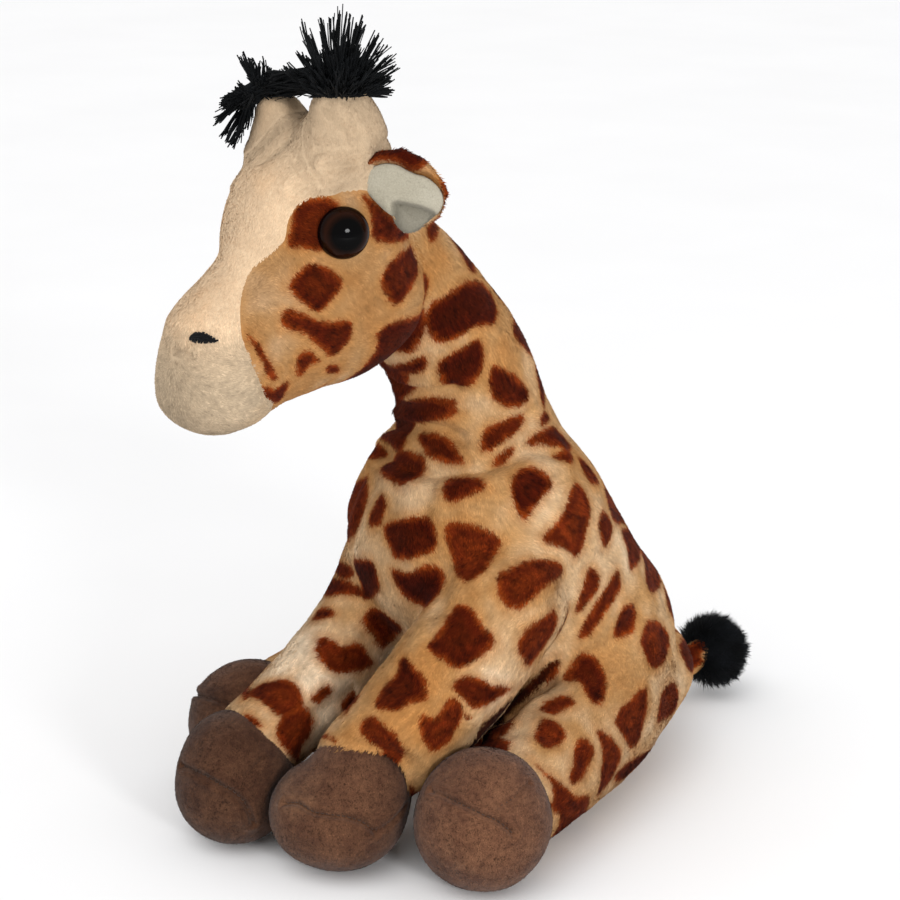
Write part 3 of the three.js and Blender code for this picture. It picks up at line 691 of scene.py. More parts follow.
# Elsewhere, patches of the same kind fill the cloth, spaced as on the near side.
tri_area = 0.5 * np.linalg.norm(np.cross(view_v[view_t[:, 1]] - view_v[view_t[:, 0]], view_v[view_t[:, 2]] - view_v[view_t[:, 0]]), axis=1)
pick = rng.choice(len(view_t), 2600, p=tri_area / tri_area.sum())
for i in pick:
    c = view_v[view_t[i]].mean(0)
    n = unit(np.cross(view_v[view_t[i, 1]] - view_v[view_t[i, 0]], view_v[view_t[i, 2]] - view_v[view_t[i, 0]]))
    r, long = rng.uniform(4.2, 7.2), rng.uniform(1.0, 1.5)
    turn, corners = rng.uniform(0, math.pi), rng.integers(5, 8)
    wobble = rng.uniform(0.8, 1.15, 8)
    if any(np.linalg.norm(c - x["c"]) < r * 0.9 + x["r"] * 0.88 + 1.6 for x in patches):
        continue
    if seen(c, n):
        continue
    a = np.linspace(0, 2 * math.pi, corners, endpoint=False)
    ring = np.stack([np.cos(a) * r * long, np.sin(a) * r / long ** 0.5], 1) * wobble[:corners, None]
    ring = ring @ np.array([[math.cos(turn), math.sin(turn)], [-math.sin(turn), math.cos(turn)]])
    u = unit(np.cross(n, [0.13, 0.2, 0.97]))
    patches.append({"c": c, "n": n, "u": u, "w": np.cross(n, u), "ring": catmull(ring, 5, True), "r": r * long, "deep": 5.0, "head": SKIN_NAMES[owner[i]] in HEAD_SET, "tone": (i % 10) / 10})


def patch_depth(p, n, head):
    """How far inside a patch each point is, in millimetres, or negative outside, and the patch's tone."""
    best = np.full(len(p), -9.0)
    tone = np.zeros(len(p))
    for s in patches:
        if s["head"] not in (head, None):
            continue
        near = np.flatnonzero((np.abs(p - s["c"]) < s["r"] + 3).all(1))
        if len(near) == 0:
            continue
        d = p[near] - s["c"]
        near = near[(np.abs(d @ s["n"]) < s["deep"]) & (n[near] @ s["n"] > 0.05)]
        if len(near) == 0:
            continue
        d = p[near] - s["c"]
        q = np.stack([d @ s["u"], d @ s["w"]], 1)
        inside = in_ring(q, s["ring"])
        depth = ring_distance(q, s["ring"]) * np.where(inside, 1, -1)
        tone[near] = np.where(depth > best[near], s["tone"], tone[near])
        best[near] = np.maximum(best[near], depth)
    return best, tone


PALE, CREAM, TAN, ORANGE = linear("E4CEB0"), linear("C8A780"), linear("B68B5A"), linear("AD763F")
RUST, SIENNA, CHOCOLATE, UMBER = linear("78310D"), linear("5A1E08"), linear("3D0E03"), linear("260702")
FOREHEAD, MUZZLE_TAN, WARM = linear("BEA689"), linear("B39F85"), linear("B99873")


# Broad areas where the ground of the print runs warm (above 0) or pale (below 0): pixel, radius, amount.
WARMTH = [((255, 320), 16, 0.45), ((300, 395), 14, 0.35), ((340, 265), 18, 0.45), ((372, 320), 14, 0.5), ((430, 265), 15, 0.55), ((470, 300), 15, 0.5), ((505, 350), 13, 0.45),
          ((445, 440), 14, 0.45), ((450, 505), 17, 0.5), ((510, 545), 13, 0.4), ((480, 600), 14, 0.35), ((420, 720), 14, 0.6), ((440, 690), 12, 0.05), ((370, 700), 14, 0.5), ((430, 670), 10, 0.8), ((400, 655), 10, 0.3), ((350, 745), 10, 0.4), ((345, 740), 10, 0.35),
          ((610, 655), 17, 0.35), ((575, 735), 13, 0.3), ((620, 700), 14, 0.25), ((575, 470), 14, 0.3), ((640, 600), 13, 0.25),
          ((290, 650), 18, -1.2), ((270, 710), 14, -0.5), ((330, 700), 14, -0.6), ((365, 545), 14, -0.4), ((560, 610), 14, -0.45), ((500, 670), 14, -0.35), ((620, 560), 13, -0.2), ((545, 765), 14, 0.35), ((385, 660), 10, -0.3), ((415, 500), 10, -0.4), ((262, 300), 10, -0.5), ((280, 345), 8, -0.4), ((350, 325), 9, -0.3), ((320, 385), 8, -0.3), ((360, 250), 8, -0.3),
          ((470, 545), 16, 0.25), ((500, 470), 12, 0.35), ((400, 470), 10, -0.2)]
warm_spots = []
for pixel, r, amount in WARMTH:
    q = look(*pixel)[0]
    warm_spots.append((q, r, amount))
    if q[0] > 8:
        warm_spots.append((q * flip, r, amount))


def printed_colour(p, n, head, blur, rng):
    base = 0.42 + 0.42 * noise3(p, 19, 3) + 0.22 * noise3(p, 6, 4) + (0.22 if head else 0.0)
    for c, r, amount in warm_spots:
        base = base + amount * np.exp(-((p - c) ** 2).sum(1) / (r * r * 0.7))
    base = base[:, None]
    colour = PALE * (1 - smooth(-0.3, 0.3, base)) + CREAM * smooth(-0.3, 0.3, base)
    colour = colour * (1 - smooth(0.2, 0.8, base)) + TAN * smooth(0.2, 0.8, base)
    warm = smooth(0.65, 1.35, base)
    colour = colour * (1 - 0.8 * warm) + ORANGE * 0.8 * warm
    if head:
        colour = colour * [0.82, 0.80, 0.80]
    at = p + rng.normal(0, blur, p.shape)
    depth, tone = patch_depth(at, n, head)
    depth, tone = depth + 0.4 * noise3(p, 2.2, 0), tone[:, None]
    halo = smooth(-4.2, 0.2, depth + 0.9 * noise3(p, 4, 5))[:, None]
    colour = colour * (1 - 0.55 * halo) + ORANGE * 0.55 * halo
    inside = smooth(-0.7, 0.6, depth)[:, None]
    deep = smooth(0.0, 2.6, depth + 0.8 * noise3(p, 5, 1))[:, None]
    core = smooth(2.2, 6.0, depth + 1.6 * noise3(p, 7, 2))[:, None]
    lighter = np.clip(tone + 0.35 * noise3(p, 5, 2)[:, None], 0, 1)
    patch = RUST * (1 - deep) + (CHOCOLATE * (1 - lighter) + SIENNA * lighter) * deep
    bright = np.clip(tone * 1.6, 0, 1)
    patch = patch * (1 - 0.6 * core * (1 - bright)) + UMBER * 0.6 * core * (1 - bright)
    patch = patch * (1 - 0.35 * core * bright) + RUST * 0.35 * core * bright
    # a tone below 0 darkens the patch as painted shade, for the strip in the leg crease
    patch = patch * (1 - 0.75 * smooth(0, -1, tone))
    mottle = 1 + 0.16 * noise3(p, 2.4, 2) + (0.08 + 0.1 * tone[:, 0]) * noise3(p, 1.0, 3)
    return (colour * (1 + 0.05 * noise3(p, 3, 2))[:, None]) * (1 - inside) + patch * inside * mottle[:, None]


def plain_colour(p, n, rng):
    low = smooth(196, 176, p[:, 2])[:, None] * smooth(-20, -34, p[:, 1])[:, None]
    colour = FOREHEAD * (1 - low) + MUZZLE_TAN * low
    streak = noise3(p * [0.9, 0.28, 0.9], 2.6, 3)
    warm = smooth(0.0, 1.0, noise3(p, 14, 2) + 0.4 * streak)[:, None]
    colour = colour * (1 - 0.3 * warm) + WARM * 0.3 * warm
    # painted highlight: the top of the muzzle is made paler where light falls on it
    muzzle_top_highlight = smooth(-12, -26, p[:, 1]) * smooth(186, 197, p[:, 2])
    # painted light and shade: the face is lighter and darker in soft streaks along the nap, most on the muzzle
    return colour * ((1 + 0.08 * streak * (0.4 + 0.6 * low[:, 0])) * (1 + 0.40 * muzzle_top_highlight))[:, None]


# ------------------------------------------------------------------ materials
def new_material(name):
    m = bpy.data.materials.new(name)
    m.use_nodes = True
    nt = m.node_tree
    return m, nt, nt.nodes["Principled BSDF"]


def node(nt, kind, **sockets):
    n = nt.nodes.new(kind)
    for k, v in sockets.items():
        if k in n.inputs:
            n.inputs[k].default_value = v
        else:
            setattr(n, k, v)
    return n


def grain(nt, scale, detail=3.0, rough=0.6):
    c = nt.nodes.new("ShaderNodeTexCoord")
    n = nt.nodes.new("ShaderNodeTexNoise")
    n.inputs["Scale"].default_value = scale
    n.inputs["Detail"].default_value = detail
    n.inputs["Roughness"].default_value = rough
    nt.links.new(c.outputs["Object"], n.inputs["Vector"])
    return n


def ramp(nt, source, stops):
    r = nt.nodes.new("ShaderNodeValToRGB")
    e = r.color_ramp.elements
    while len(e) < len(stops):
        e.new(0.5)
    for i, (at, c) in enumerate(stops):
        e[i].position = at
        e[i].color = (*c, 1) if len(c) == 3 else c
    nt.links.new(source, r.inputs["Fac"])
    return r


def multiply(nt, a, b, amount=1.0):
    m = nt.nodes.new("ShaderNodeMix")
    m.data_type, m.blend_type = "RGBA", "MULTIPLY"
    m.inputs["Factor"].default_value = amount
    nt.links.new(a, m.inputs[6])
    nt.links.new(b, m.inputs[7])
    return m.outputs[2]


def bump(nt, source, bsdf, strength, distance):
    b = nt.nodes.new("ShaderNodeBump")
    b.inputs["Strength"].default_value = strength
    b.inputs["Distance"].default_value = distance
    nt.links.new(source, b.inputs["Height"])
    nt.links.new(b.outputs["Normal"], bsdf.inputs["Normal"])
    return b


def cloth(name, fine, low, high, rough, sheen, strength, distance, tint=None, mottle=None):
    """Cloth whose colour comes from the mesh's own tint, or from tint, under a fine and a broad grain."""
    m, nt, b = new_material(name)
    g = grain(nt, fine)
    shade = ramp(nt, g.outputs["Fac"], [(0.32, (low,) * 3), (0.68, (high,) * 3)])
    if tint is None:
        a = nt.nodes.new("ShaderNodeAttribute")
        a.attribute_name = "tint"
        colour = a.outputs["Color"]
    else:
        broad = grain(nt, mottle, 2.0)
        colour = ramp(nt, broad.outputs["Fac"], [(0.3, tuple(tint[0])), (0.7, tuple(tint[1]))]).outputs["Color"]
    nt.links.new(multiply(nt, colour, shade.outputs["Color"]), b.inputs["Base Color"])
    b.inputs["Roughness"].default_value = rough
    b.inputs["Specular IOR Level"].default_value = 0.05
    b.inputs["Sheen Weight"].default_value = sheen
    b.inputs["Sheen Roughness"].default_value = 0.5
    if strength:
        bump(nt, g.outputs["Fac"], b, strength, distance)
    return m


PLUSH_CLOTH = cloth("plush_backing", 1500, 0.86, 1.04, 0.95, 0.02, 0.3, 0.0003)
PLUSH_PILE = cloth("plush_pile", 700, 0.95, 1.05, 0.9, 0.02, 0, 0)
VELOUR = cloth("white_velour", 2300, 0.86, 1.04, 0.95, 0.12, 0.45, 0.0004)
SUEDE = cloth("hoof_suede", 1900, 0.8, 1.1, 0.95, 0.12, 0.5, 0.0004)
YARN = cloth("black_yarn", 2600, 0.5, 1.4, 0.8, 0.03, 0.4, 0.0003, (linear("08090A"), linear("141618")), 160)
TAIL_PILE = cloth("black_pile", 1700, 0.5, 1.4, 0.8, 0.03, 0, 0, (linear("090A0B"), linear("15171A")), 120)
THREAD = cloth("black_thread", 3200, 0.5, 1.5, 0.6, 0.1, 0.4, 0.0002, (linear("070708"), linear("131314")), 300)
SEAM_THREAD = cloth("brown_thread", 3000, 0.7, 1.2, 0.7, 0.1, 0.3, 0.0002, (linear("43342B"), linear("54423A")), 200)
BAG = cloth("pellet_bag_weave", 1200, 0.8, 1.05, 0.9, 0.05, 0.4, 0.0004, (linear("C9C3B6"), linear("D8D3C8")), 60)
WASHER = cloth("washer_plastic", 700, 0.95, 1.02, 0.5, 0.0, 0.1, 0.0001, (linear("E4E1DA"), linear("EEEBE5")), 40)

EYE, nt, b = new_material("eye_plastic")
attr = nt.nodes.new("ShaderNodeAttribute")
attr.attribute_name = "ring"
swirl = grain(nt, 800, 2.0)
mix = nt.nodes.new("ShaderNodeMath")
mix.operation = "MULTIPLY_ADD"
mix.inputs[1].default_value = 0.05
nt.links.new(swirl.outputs["Fac"], mix.inputs[0])
nt.links.new(attr.outputs["Fac"], mix.inputs[2])
iris = ramp(nt, mix.outputs[0], [(0.0, (0.001, 0.001, 0.0012)), (0.60, (0.0012, 0.001, 0.001)), (0.70, (0.006, 0.002, 0.001)), (0.84, (0.016, 0.0045, 0.002)), (0.95, (0.007, 0.0022, 0.001)), (1.0, (0.003, 0.001, 0.001))])
nt.links.new(iris.outputs["Color"], b.inputs["Base Color"])
b.inputs["Roughness"].default_value = 0.05
b.inputs["Specular IOR Level"].default_value = 0.05


# ------------------------------------------------------------------ meshes
def build(name, verts, faces, material, tint=None, uv=None, normals=None, values=None, smooth_shade=True):
    """faces is an array of equal polygons, or a flat (loop vertices, loop starts) pair."""
    me = bpy.data.meshes.new(name)
    co = metres(verts).astype(np.float32)
    if isinstance(faces, tuple):
        loops, loop_starts = faces
    else:
        faces = np.asarray(faces)
        loops, loop_starts = faces.ravel(), np.arange(len(faces)) * faces.shape[1]
    me.vertices.add(len(co))
    me.vertices.foreach_set("co", co.ravel())
    me.loops.add(len(loops))
    me.loops.foreach_set("vertex_index", loops.astype(np.int32))
    me.polygons.add(len(loop_starts))
    me.polygons.foreach_set("loop_start", loop_starts.astype(np.int32))
    me.update(calc_edges=True)
    if tint is not None:
        a = me.color_attributes.new("tint", "FLOAT_COLOR", "POINT")
        rgba = np.ones((len(co), 4), np.float32)
        rgba[:, :3] = np.clip(tint, 0, 1)
        a.data.foreach_set("color", rgba.ravel())
    if values is not None:
        a = me.attributes.new("ring", "FLOAT", "POINT")
        a.data.foreach_set("value", np.asarray(values, np.float32))
    if uv is not None:
        me.uv_layers.new(name="OFBake", do_init=False).uv.foreach_set("vector", uv.astype(np.float32).ravel())
    if smooth_shade:
        me.polygons.foreach_set("use_smooth", np.ones(len(loop_starts), bool))
    if normals is not None:
        me.normals_split_custom_set_from_vertices(normals.astype(np.float32))
    me.materials.append(material)
    ob = bpy.data.objects.new(name, me)
    bpy.context.scene.collection.objects.link(ob)
    return ob


def pile(name, v, t, n, colour, nap, density, length, width, lie=0.75, mess=0.2, skip=None, seed=0, material=None, short=None,
         fleck=0.035, curls=1.0, rough=None):
    """Pile as real blades: each stands on the cloth, lies over along the nap and tapers to its tip. lie runs from 0,
    upright, to 1, flat. short gives a share of the length at each root. Returns the objects."""
    rng = np.random.default_rng(seed)
    a, b, c = v[t[:, 0]], v[t[:, 1]], v[t[:, 2]]
    area = 0.5 * np.linalg.norm(np.cross(b - a, c - a), axis=1)
    count = int(area.sum() * density * (1.0))
    tri = np.searchsorted(np.cumsum(area), np.sort(rng.uniform(0, area.sum(), count))).clip(0, len(t) - 1)
    w0, w1 = rng.uniform(0, 1, (2, count))
    over = w0 + w1 > 1
    w0[over], w1[over] = 1 - w0[over], 1 - w1[over]
    w = np.stack([1 - w0 - w1, w0, w1], 1)[:, :, None]
    root = (v[t[tri]] * w).sum(1)
    up = unit((n[t[tri]] * w).sum(1))
    # none grows where the cloth is pressed on the floor
    keep = (root[:, 2] > 2.2) | (up[:, 2] > -0.8)
    if skip is not None:
        keep &= ~skip(root)
    root, up = root[keep], up[keep]
    m = len(root)
    way = nap(root)
    way = unit(way - (way * up).sum(1, keepdims=True) * up)
    side = np.cross(up, way)
    curl = curls * (0.5 * noise3(root, 7.5, 1) + 0.24 * noise3(root, 2.8, 4))[:, None] * side
    loose = rng.normal(0, mess, (m, 3))
    long = (length * rng.uniform(0.75, 1.15, m) * (1 + 0.12 * noise3(root, 4, 3)))[:, None]
    if short is not None:
        long *= short(root)[:, None]
    wide = (width * rng.uniform(0.8, 1.25, m) / 1.0)[:, None]
    low_lie, top_lie = 0.9 * lie, 1.06 * lie
    first = unit((1 - low_lie) * up + low_lie * (way + curl) + 0.7 * loose)
    second = unit(max(1 - top_lie, 0.05) * up + top_lie * (way + curl) + loose)
    mid = root + first * long * 0.5
    tip = mid + second * long * 0.5
    flat = unit(np.cross(first, up) + 0.25 * rng.normal(0, 1, (m, 3)))
    face = np.cross(flat, first)
    flat *= np.where((face * up).sum(1) < 0, -1, 1)[:, None]
    low = root - up * 0.4
    blades = np.stack([low - flat * wide * 0.5, low + flat * wide * 0.5, mid - flat * wide * 0.45, mid + flat * wide * 0.45, tip], 1)
    # painted highlights and shade: light catching the pile in soft streaks along the nap is painted into each blade's
    # colour
    across = np.stack([(root * side).sum(1) / 0.9, (root * way).sum(1) / 3.6, (root * up).sum(1) / 3.6], 1)
    streak = 0.24 * noise3(across, 1.0, 2) + 0.13 * noise3(root, 1.3, 3) + rng.normal(0, fleck, m)
    shade = colour(root + (tip - root) * 0.5, up, rng)
    # light tips show more among dark ones
    streak *= 1 + 1.7 * smooth(0.22, 0.05, shade.mean(1))
    if rough is not None:
        streak *= rough(root)
    shade = np.clip(shade * (1 + np.maximum(streak, -0.6))[:, None], 0, 1)
    # painted shade: each blade is darker at its root and lighter at its tip, for the shade deep in the pile
    tint = np.stack([shade * 0.93, shade * 0.93, shade * 0.99, shade * 0.99, np.clip(shade * 1.03, 0, 1)], 1)
    lit = unit(up + (0.10 if curls < 1 else 0.24) * curl + (0.04 if curls < 1 else 0.13) * noise3(root, 2.0, 5)[:, None] * way)
    lit = np.repeat(lit[:, None], 5, 1)
    objects, most = [], 62000
    parts = max(1, -(-m // most))
    for i in range(parts):
        s = slice(m * i // parts, m * (i + 1) // parts)
        k = s.stop - s.start
        base = np.arange(k)[:, None] * 5
        loops = (base + np.array([0, 1, 3, 2, 2, 3, 4])).ravel()
        loop_starts = (np.arange(k)[:, None] * 7 + np.array([0, 4])).ravel()
        across = int(math.ceil(math.sqrt(k)))
        cell = np.stack([np.arange(k) % across, np.arange(k) // across], 1)[:, None, :]
        corner = np.array([[0.12, 0.1], [0.88, 0.1], [0.86, 0.5], [0.14, 0.5], [0.14, 0.5], [0.86, 0.5], [0.5, 0.92]])
        uv = ((cell + corner) / across).reshape(-1, 2)
        ob = build(name + ("" if parts == 1 else "_%d" % (i + 1)), blades[s].reshape(-1, 3), (loops, loop_starts), material or PLUSH_PILE,
                   tint[s].reshape(-1, 3), uv, lit[s].reshape(-1, 3))
        objects.append(ob)
    return objects


BLENDS = {
    "front_left_leg": ("torso", "front_leg_left", (33, 50, 82), (-0.177, -0.72, -0.667), 20, 58),
    "front_right_leg": ("torso", "front_leg_right", (-32, 53, 78), (0.12, -0.81, -0.57), 20, 58),
    "hind_left_leg": ("torso", "hind_leg_left", (38, 90, 31), (0.284, -0.958, -0.09), 26, 58),
    "hind_right_leg": ("torso", "hind_leg_right", (-38, 90, 31), (-0.284, -0.958, -0.09), 26, 58),
    "tail": ("torso", "tail", (0, 156, 23), (0.1, 0.85, -0.5), 2, 16),
    "neck": ("torso", "head", (0, 68, 137), (0, -0.5, 0.866), 4, 50),
}
RIDES = {"torso": "torso", "face": "head", "cheek_left": "head", "cheek_right": "head", "horn_left": "head", "horn_right": "head"}


def attach(ob, name):
    if name in BLENDS:
        a, b, pivot, way, near, far = BLENDS[name]
        way = unit(way)
        tuple(metres(np.array(pivot) + way * near))
        tuple(metres(np.array(pivot) + way * far))
        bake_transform(ob)
    else:
        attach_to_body(ob, RIDES[name])


EYE_RADIUS = 8.2
EYES = {}
for label, sign in (("left", 1), ("right", -1)):
    EYES[label] = (np.array([27.0 * sign, -13.9, 222.6]), unit([0.87 * sign, -0.485, 0.085]))
EYES["right"] = (np.array([-25.6, -9.4, 222.0]), unit([-0.935, -0.35, 0.08]))


def from_eyes(p):
    """How far each point is from the nearer eye's axis."""
    best = np.full(len(p), 99.0)
    for at, axis in EYES.values():
        d = p - at
        along = d @ axis
        away = np.linalg.norm(d - along[:, None] * axis, axis=1)
        best = np.minimum(best, np.where(np.abs(along) < 10, away, 99))
    return best


def by_eyes(p):
    return from_eyes(p) < EYE_RADIUS - 0.7


def clear_of_eyes(p):
    return 0.45 + 0.55 * smooth(EYE_RADIUS, EYE_RADIUS + 4, from_eyes(p))


def nap_for(name):
    def nap(p):
        if name in LEGS or name.endswith("_leg"):
            stations = np.array(LEGS[name[:-4]], float)[:, :3]
            return np.repeat(unit(stations[-1] - stations[1])[None], len(p), 0) + [0, 0, -0.35]
        if name == "face":
            low = smooth(200, 184, p[:, 2])[:, None]
            return np.array([0.05, -0.5, -0.8]) * (1 - low) + np.array([0.0, 0.9, -0.25]) * low
        if name.startswith("cheek"):
            return np.repeat([[0.0, 0.75, -0.55]], len(p), 0)
        if name.startswith("horn"):
            return np.repeat([[0.0, -0.1, 1.0]], len(p), 0)
        if name == "tail":
            return np.repeat([[0.1, 1.0, 0.1]], len(p), 0)
        return np.repeat([[0.0, 0.45, -0.9]], len(p), 0)
    return nap


SKIN_PIECES = {
    # skin: piece name, replaced nodes, slot, blades a mm2, length, width, fill
    "torso": ("torso_plush", ["torso_skin", "torso_stuffing"], "printed_plush", 5.6, 1.8, 0.32, 0.75),
    "neck": ("neck_plush", ["neck_skin", "neck_stuffing"], "printed_plush", 5.4, 1.8, 0.32, 0.75),
    "cheek_left": ("cheek_plush_left", ["head_side_left"], "printed_plush", 6.0, 1.7, 0.29, 0.85),
    "cheek_right": ("cheek_plush_right", ["head_side_right"], "printed_plush", 5.0, 1.7, 0.31, 0.85),
    "face": ("face_plush", ["face_panel", "head_stuffing"], "plain_plush", 7.6, 1.45, 0.28, 0.85),
    "horn_left": ("horn_plush_left", ["ossicone_left"], "plain_plush", 6.0, 1.2, 0.27, 0.9),
    "horn_right": ("horn_plush_right", ["ossicone_right"], "plain_plush", 6.0, 1.2, 0.27, 0.9),
    "tail": ("tail_plush", ["tail_skin"], "printed_plush", 5.5, 1.6, 0.30, 0.8),
}
for end in ("front", "hind"):
    for label in ("left", "right"):
        SKIN_PIECES[f"{end}_{label}_leg"] = (f"{end}_leg_plush_{label}", [f"{end}_leg_skin_{label}", f"{end}_leg_stuffing_{label}"], "printed_plush", 5.6, 1.8, 0.32, 0.75)


def face_rough(p):
    """The pile is brushed flat on the forehead and stands in clumps on the muzzle, so the painted light and shade
    streaks in its colour are weak on the forehead and strong on the muzzle.
    """
    return 0.26 + 0.95 * smooth(206, 190, p[:, 2]) * smooth(-18, -32, p[:, 1])


colour_rng = np.random.default_rng(77)
for i, (name, (piece, nodes, slot, dens, length, width, fill)) in enumerate(SKIN_PIECES.items()):
    v, t, n = skins[name]
    head = name in ("cheek_left", "cheek_right")
    plain = name in ("face", "horn_left", "horn_right")

    def colour(p, up, rng, head=head, plain=plain):
        if plain:
            return plain_colour(p, up, rng)
        return printed_colour(p, up, head, 0.28, rng)

    # the backing cloth is made 4% darker than its pile, as painted shade under the blades
    ob = build(piece, v, t, PLUSH_CLOTH, colour(v, n, colour_rng) * 0.96)
    attach(ob, name)
    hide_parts(*nodes)
    tufts = pile(piece + "_pile", v, t, n, colour, nap_for(name), dens, length, width, seed=10 + i,
                 skip=by_eyes if name in ("face", "cheek_left", "cheek_right") else None,
                 short=clear_of_eyes if name in ("face", "cheek_left", "cheek_right") else None,
                 lie=0.92 if head or plain else 0.89, mess=0.06 if head or plain else 0.09, curls=0.5 if plain else 1.15,
                 rough=face_rough if plain else None)
    for p in tufts:
        attach(p, name)

# ------------------------------------------------------------------ hooves
HOOF_SEAMS = {  # pixels along each sewn seam
    "hind_left": [[(418, 783), (430, 790), (455, 801), (482, 814), (500, 822), (514, 834)], [(500, 806), (515, 797), (530, 783), (540, 772)]],
    "front_left": [[(284, 803), (297, 803), (312, 812), (330, 815), (345, 817), (362, 822), (376, 832)], [(376, 832), (392, 822), (406, 806)]],
    "front_right": [[(181, 765), (192, 770), (205, 776), (220, 785), (233, 792), (246, 805), (254, 824)], [(246, 776), (262, 760)]],
}


def hoof_mesh(key, step=0.75):
    """A hoof's outer surface, on a fine lattice of its own, flat where it stands on the floor."""
    parts = HOOVES[key]
    low = np.min([np.array(c) - r for c, r in parts], 0) - 4
    high = np.max([np.array(c) + r for c, r in parts], 0) + 4
    axes = [np.arange(low[k], high[k], step) for k in range(3)]
    grid = np.stack(np.meshgrid(*axes, indexing="ij"), -1)
    f = hoof_at(key, grid.reshape(-1, 3)).reshape(grid.shape[:3]) + 0.35
    f = -smin(-f, grid[..., 2] - 0.5, 2.5)
    v, t = surface(f, low, step)
    return relax(v, t, 4), t


def tube(path, radius, sides=6, taper=0.0, closed_ends=True):
    """A round thread along a path. taper is how much of the radius is gone at the far end."""
    path = np.asarray(path, float)
    tan = unit(np.gradient(path, axis=0))
    ref = np.array([0.31, 0.52, 0.79])
    a = unit(np.cross(tan, ref))
    b = np.cross(tan, a)
    s = np.linspace(0, 1, len(path))
    rad = radius * (1 - taper * s)
    ang = np.linspace(0, 2 * math.pi, sides, endpoint=False)
    ring = path[:, None] + rad[:, None, None] * (np.cos(ang)[None, :, None] * a[:, None] + np.sin(ang)[None, :, None] * b[:, None])
    v = ring.reshape(-1, 3)
    i = np.arange(len(path) * sides).reshape(len(path), sides)
    q = np.stack([i[:-1], np.roll(i[:-1], -1, 1), np.roll(i[1:], -1, 1), i[1:]], -1).reshape(-1, 4)
    tris = np.vstack([q[:, [0, 1, 2]], q[:, [0, 2, 3]]])
    if closed_ends:
        v = np.vstack([v, path[0] - tan[0] * rad[0] * 0.4, path[-1] + tan[-1] * max(rad[-1], 0.05) * 0.6])
        k = len(v)
        tris = np.vstack([tris, np.stack([np.full(sides, k - 2), np.roll(i[0], -1), i[0]], 1), np.stack([np.full(sides, k - 1), i[-1], np.roll(i[-1], -1)], 1)])
    return v, tris


def joined(parts):
    vs, ts, k = [], [], 0
    for v, t in parts:
        vs.append(v)
        ts.append(t + k)
        k += len(v)
    return np.vstack(vs), np.vstack(ts)


HOOF_DARK, HOOF_MID, HOOF_PALE = linear("4A2F22"), linear("644431"), linear("7C5A42")


def hoof_colour(p, up, rng):
    a = np.clip(0.5 + 0.3 * noise3(p, 9, 1) + 0.3 * noise3(p, 3, 2) + 0.35 * noise3(p * [1, 1, 1.8], 1.5, 3), 0, 1)[:, None]
    colour = HOOF_DARK * (1 - a) + HOOF_MID * a
    worn = smooth(0.2, 1.0, noise3(p, 12, 4) + 0.3 * noise3(p, 2, 5))[:, None]
    # painted light and shade: the near hind hoof is made the palest, where light falls, and the far front one the
    # darkest, in shade
    side = 1 + 0.30 * smooth(44, 52, p[:, 0]) - 0.28 * smooth(4, -6, p[:, 0]) * smooth(5, -1, p[:, 1])
    return (colour * (1 - 0.4 * worn) + HOOF_PALE * 0.4 * worn) * side[:, None]


hoof_meshes = {key: hoof_mesh(key) for key in HOOVES}


def seam_hits_on(key, lines):
    v, t = hoof_meshes[key]
    on = BVHTree.FromPolygons(v.tolist(), t.tolist())
    out = []
    for pixels in lines:
        hits = [on.ray_cast(Vector(ray(*q)[0]), Vector(ray(*q)[1]), 1500)[0] for q in pixels]
        out.append(np.array([h for h in hits if h is not None]))
    return out


for key in HOOVES:
    end, label = key.split("_")
    v, t = hoof_meshes[key]
    c = v.mean(0)
    if key in HOOF_SEAMS:
        lines = seam_hits_on(key, HOOF_SEAMS[key])
    else:
        there = hoof_meshes["hind_left"][0].mean(0)
        on = BVHTree.FromPolygons(v.tolist(), t.tolist())
        lines = [np.array([on.find_nearest(Vector((q - there) * [-1, 1, 1] + c))[0] for q in x]) for x in seam_hits_on("hind_left", HOOF_SEAMS["hind_left"])]
    lines = [catmull(x, 5) for x in lines if len(x) > 1]
    n = normals_of(v, t)
    move = 0.35 * noise3(v, 11, 2) + 0.12 * noise3(v, 4.5, 3)
    for i, line in enumerate(lines):
        d = polyline_distance(v, line)
        move += (1.0 if i == 0 else 0.5) * (0.4 * np.exp(-((d - 2.4) / 1.5) ** 2) - 1.6 * np.exp(-(d / 0.9) ** 2))
    move *= smooth(0.5, 4, v[:, 2])
    v = v + n * move[:, None]
    n = normals_of(v, t)
    piece = f"{end}_hoof_suede_{label}"
    ob = build(piece, v, t, SUEDE, hoof_colour(v, n, colour_rng))
    body = f"{end}_leg_{label}"
    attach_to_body(ob, body)
    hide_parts(f"{end}_hoof_{label}")
    fuzz = pile(piece + "_nap", v, t, n, hoof_colour, lambda p: np.repeat([[0.2, -0.4, -0.8]], len(p), 0), 6.0, 0.8, 0.22, lie=0.86, mess=0.14, seed=60 + len(piece) + len(key), material=SUEDE, fleck=0.11)
    for p in fuzz:
        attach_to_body(p, body)
    # the sewing thread shows as small sunk stitches along each seam
    stitches = []
    for line in lines:
        seg = np.linalg.norm(np.diff(line, axis=0), axis=1)
        s = np.concatenate([[0], np.cumsum(seg)])
        for a in np.arange(0.5, s[-1] - 1.2, 1.9):
            ts = np.linspace(a, a + 1.15, 4)
            path = np.stack([np.interp(ts, s, line[:, k]) for k in range(3)], 1)
            out = unit(path - c)
            path = path + out * np.array([-1.2, -0.8, -0.8, -1.2])[:, None]
            stitches.append(tube(path, 0.15, 5))
    sv, st = joined(stitches)
    ob = build(f"{end}_hoof_stitches_{label}", sv, st, SEAM_THREAD)
    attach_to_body(ob, body)

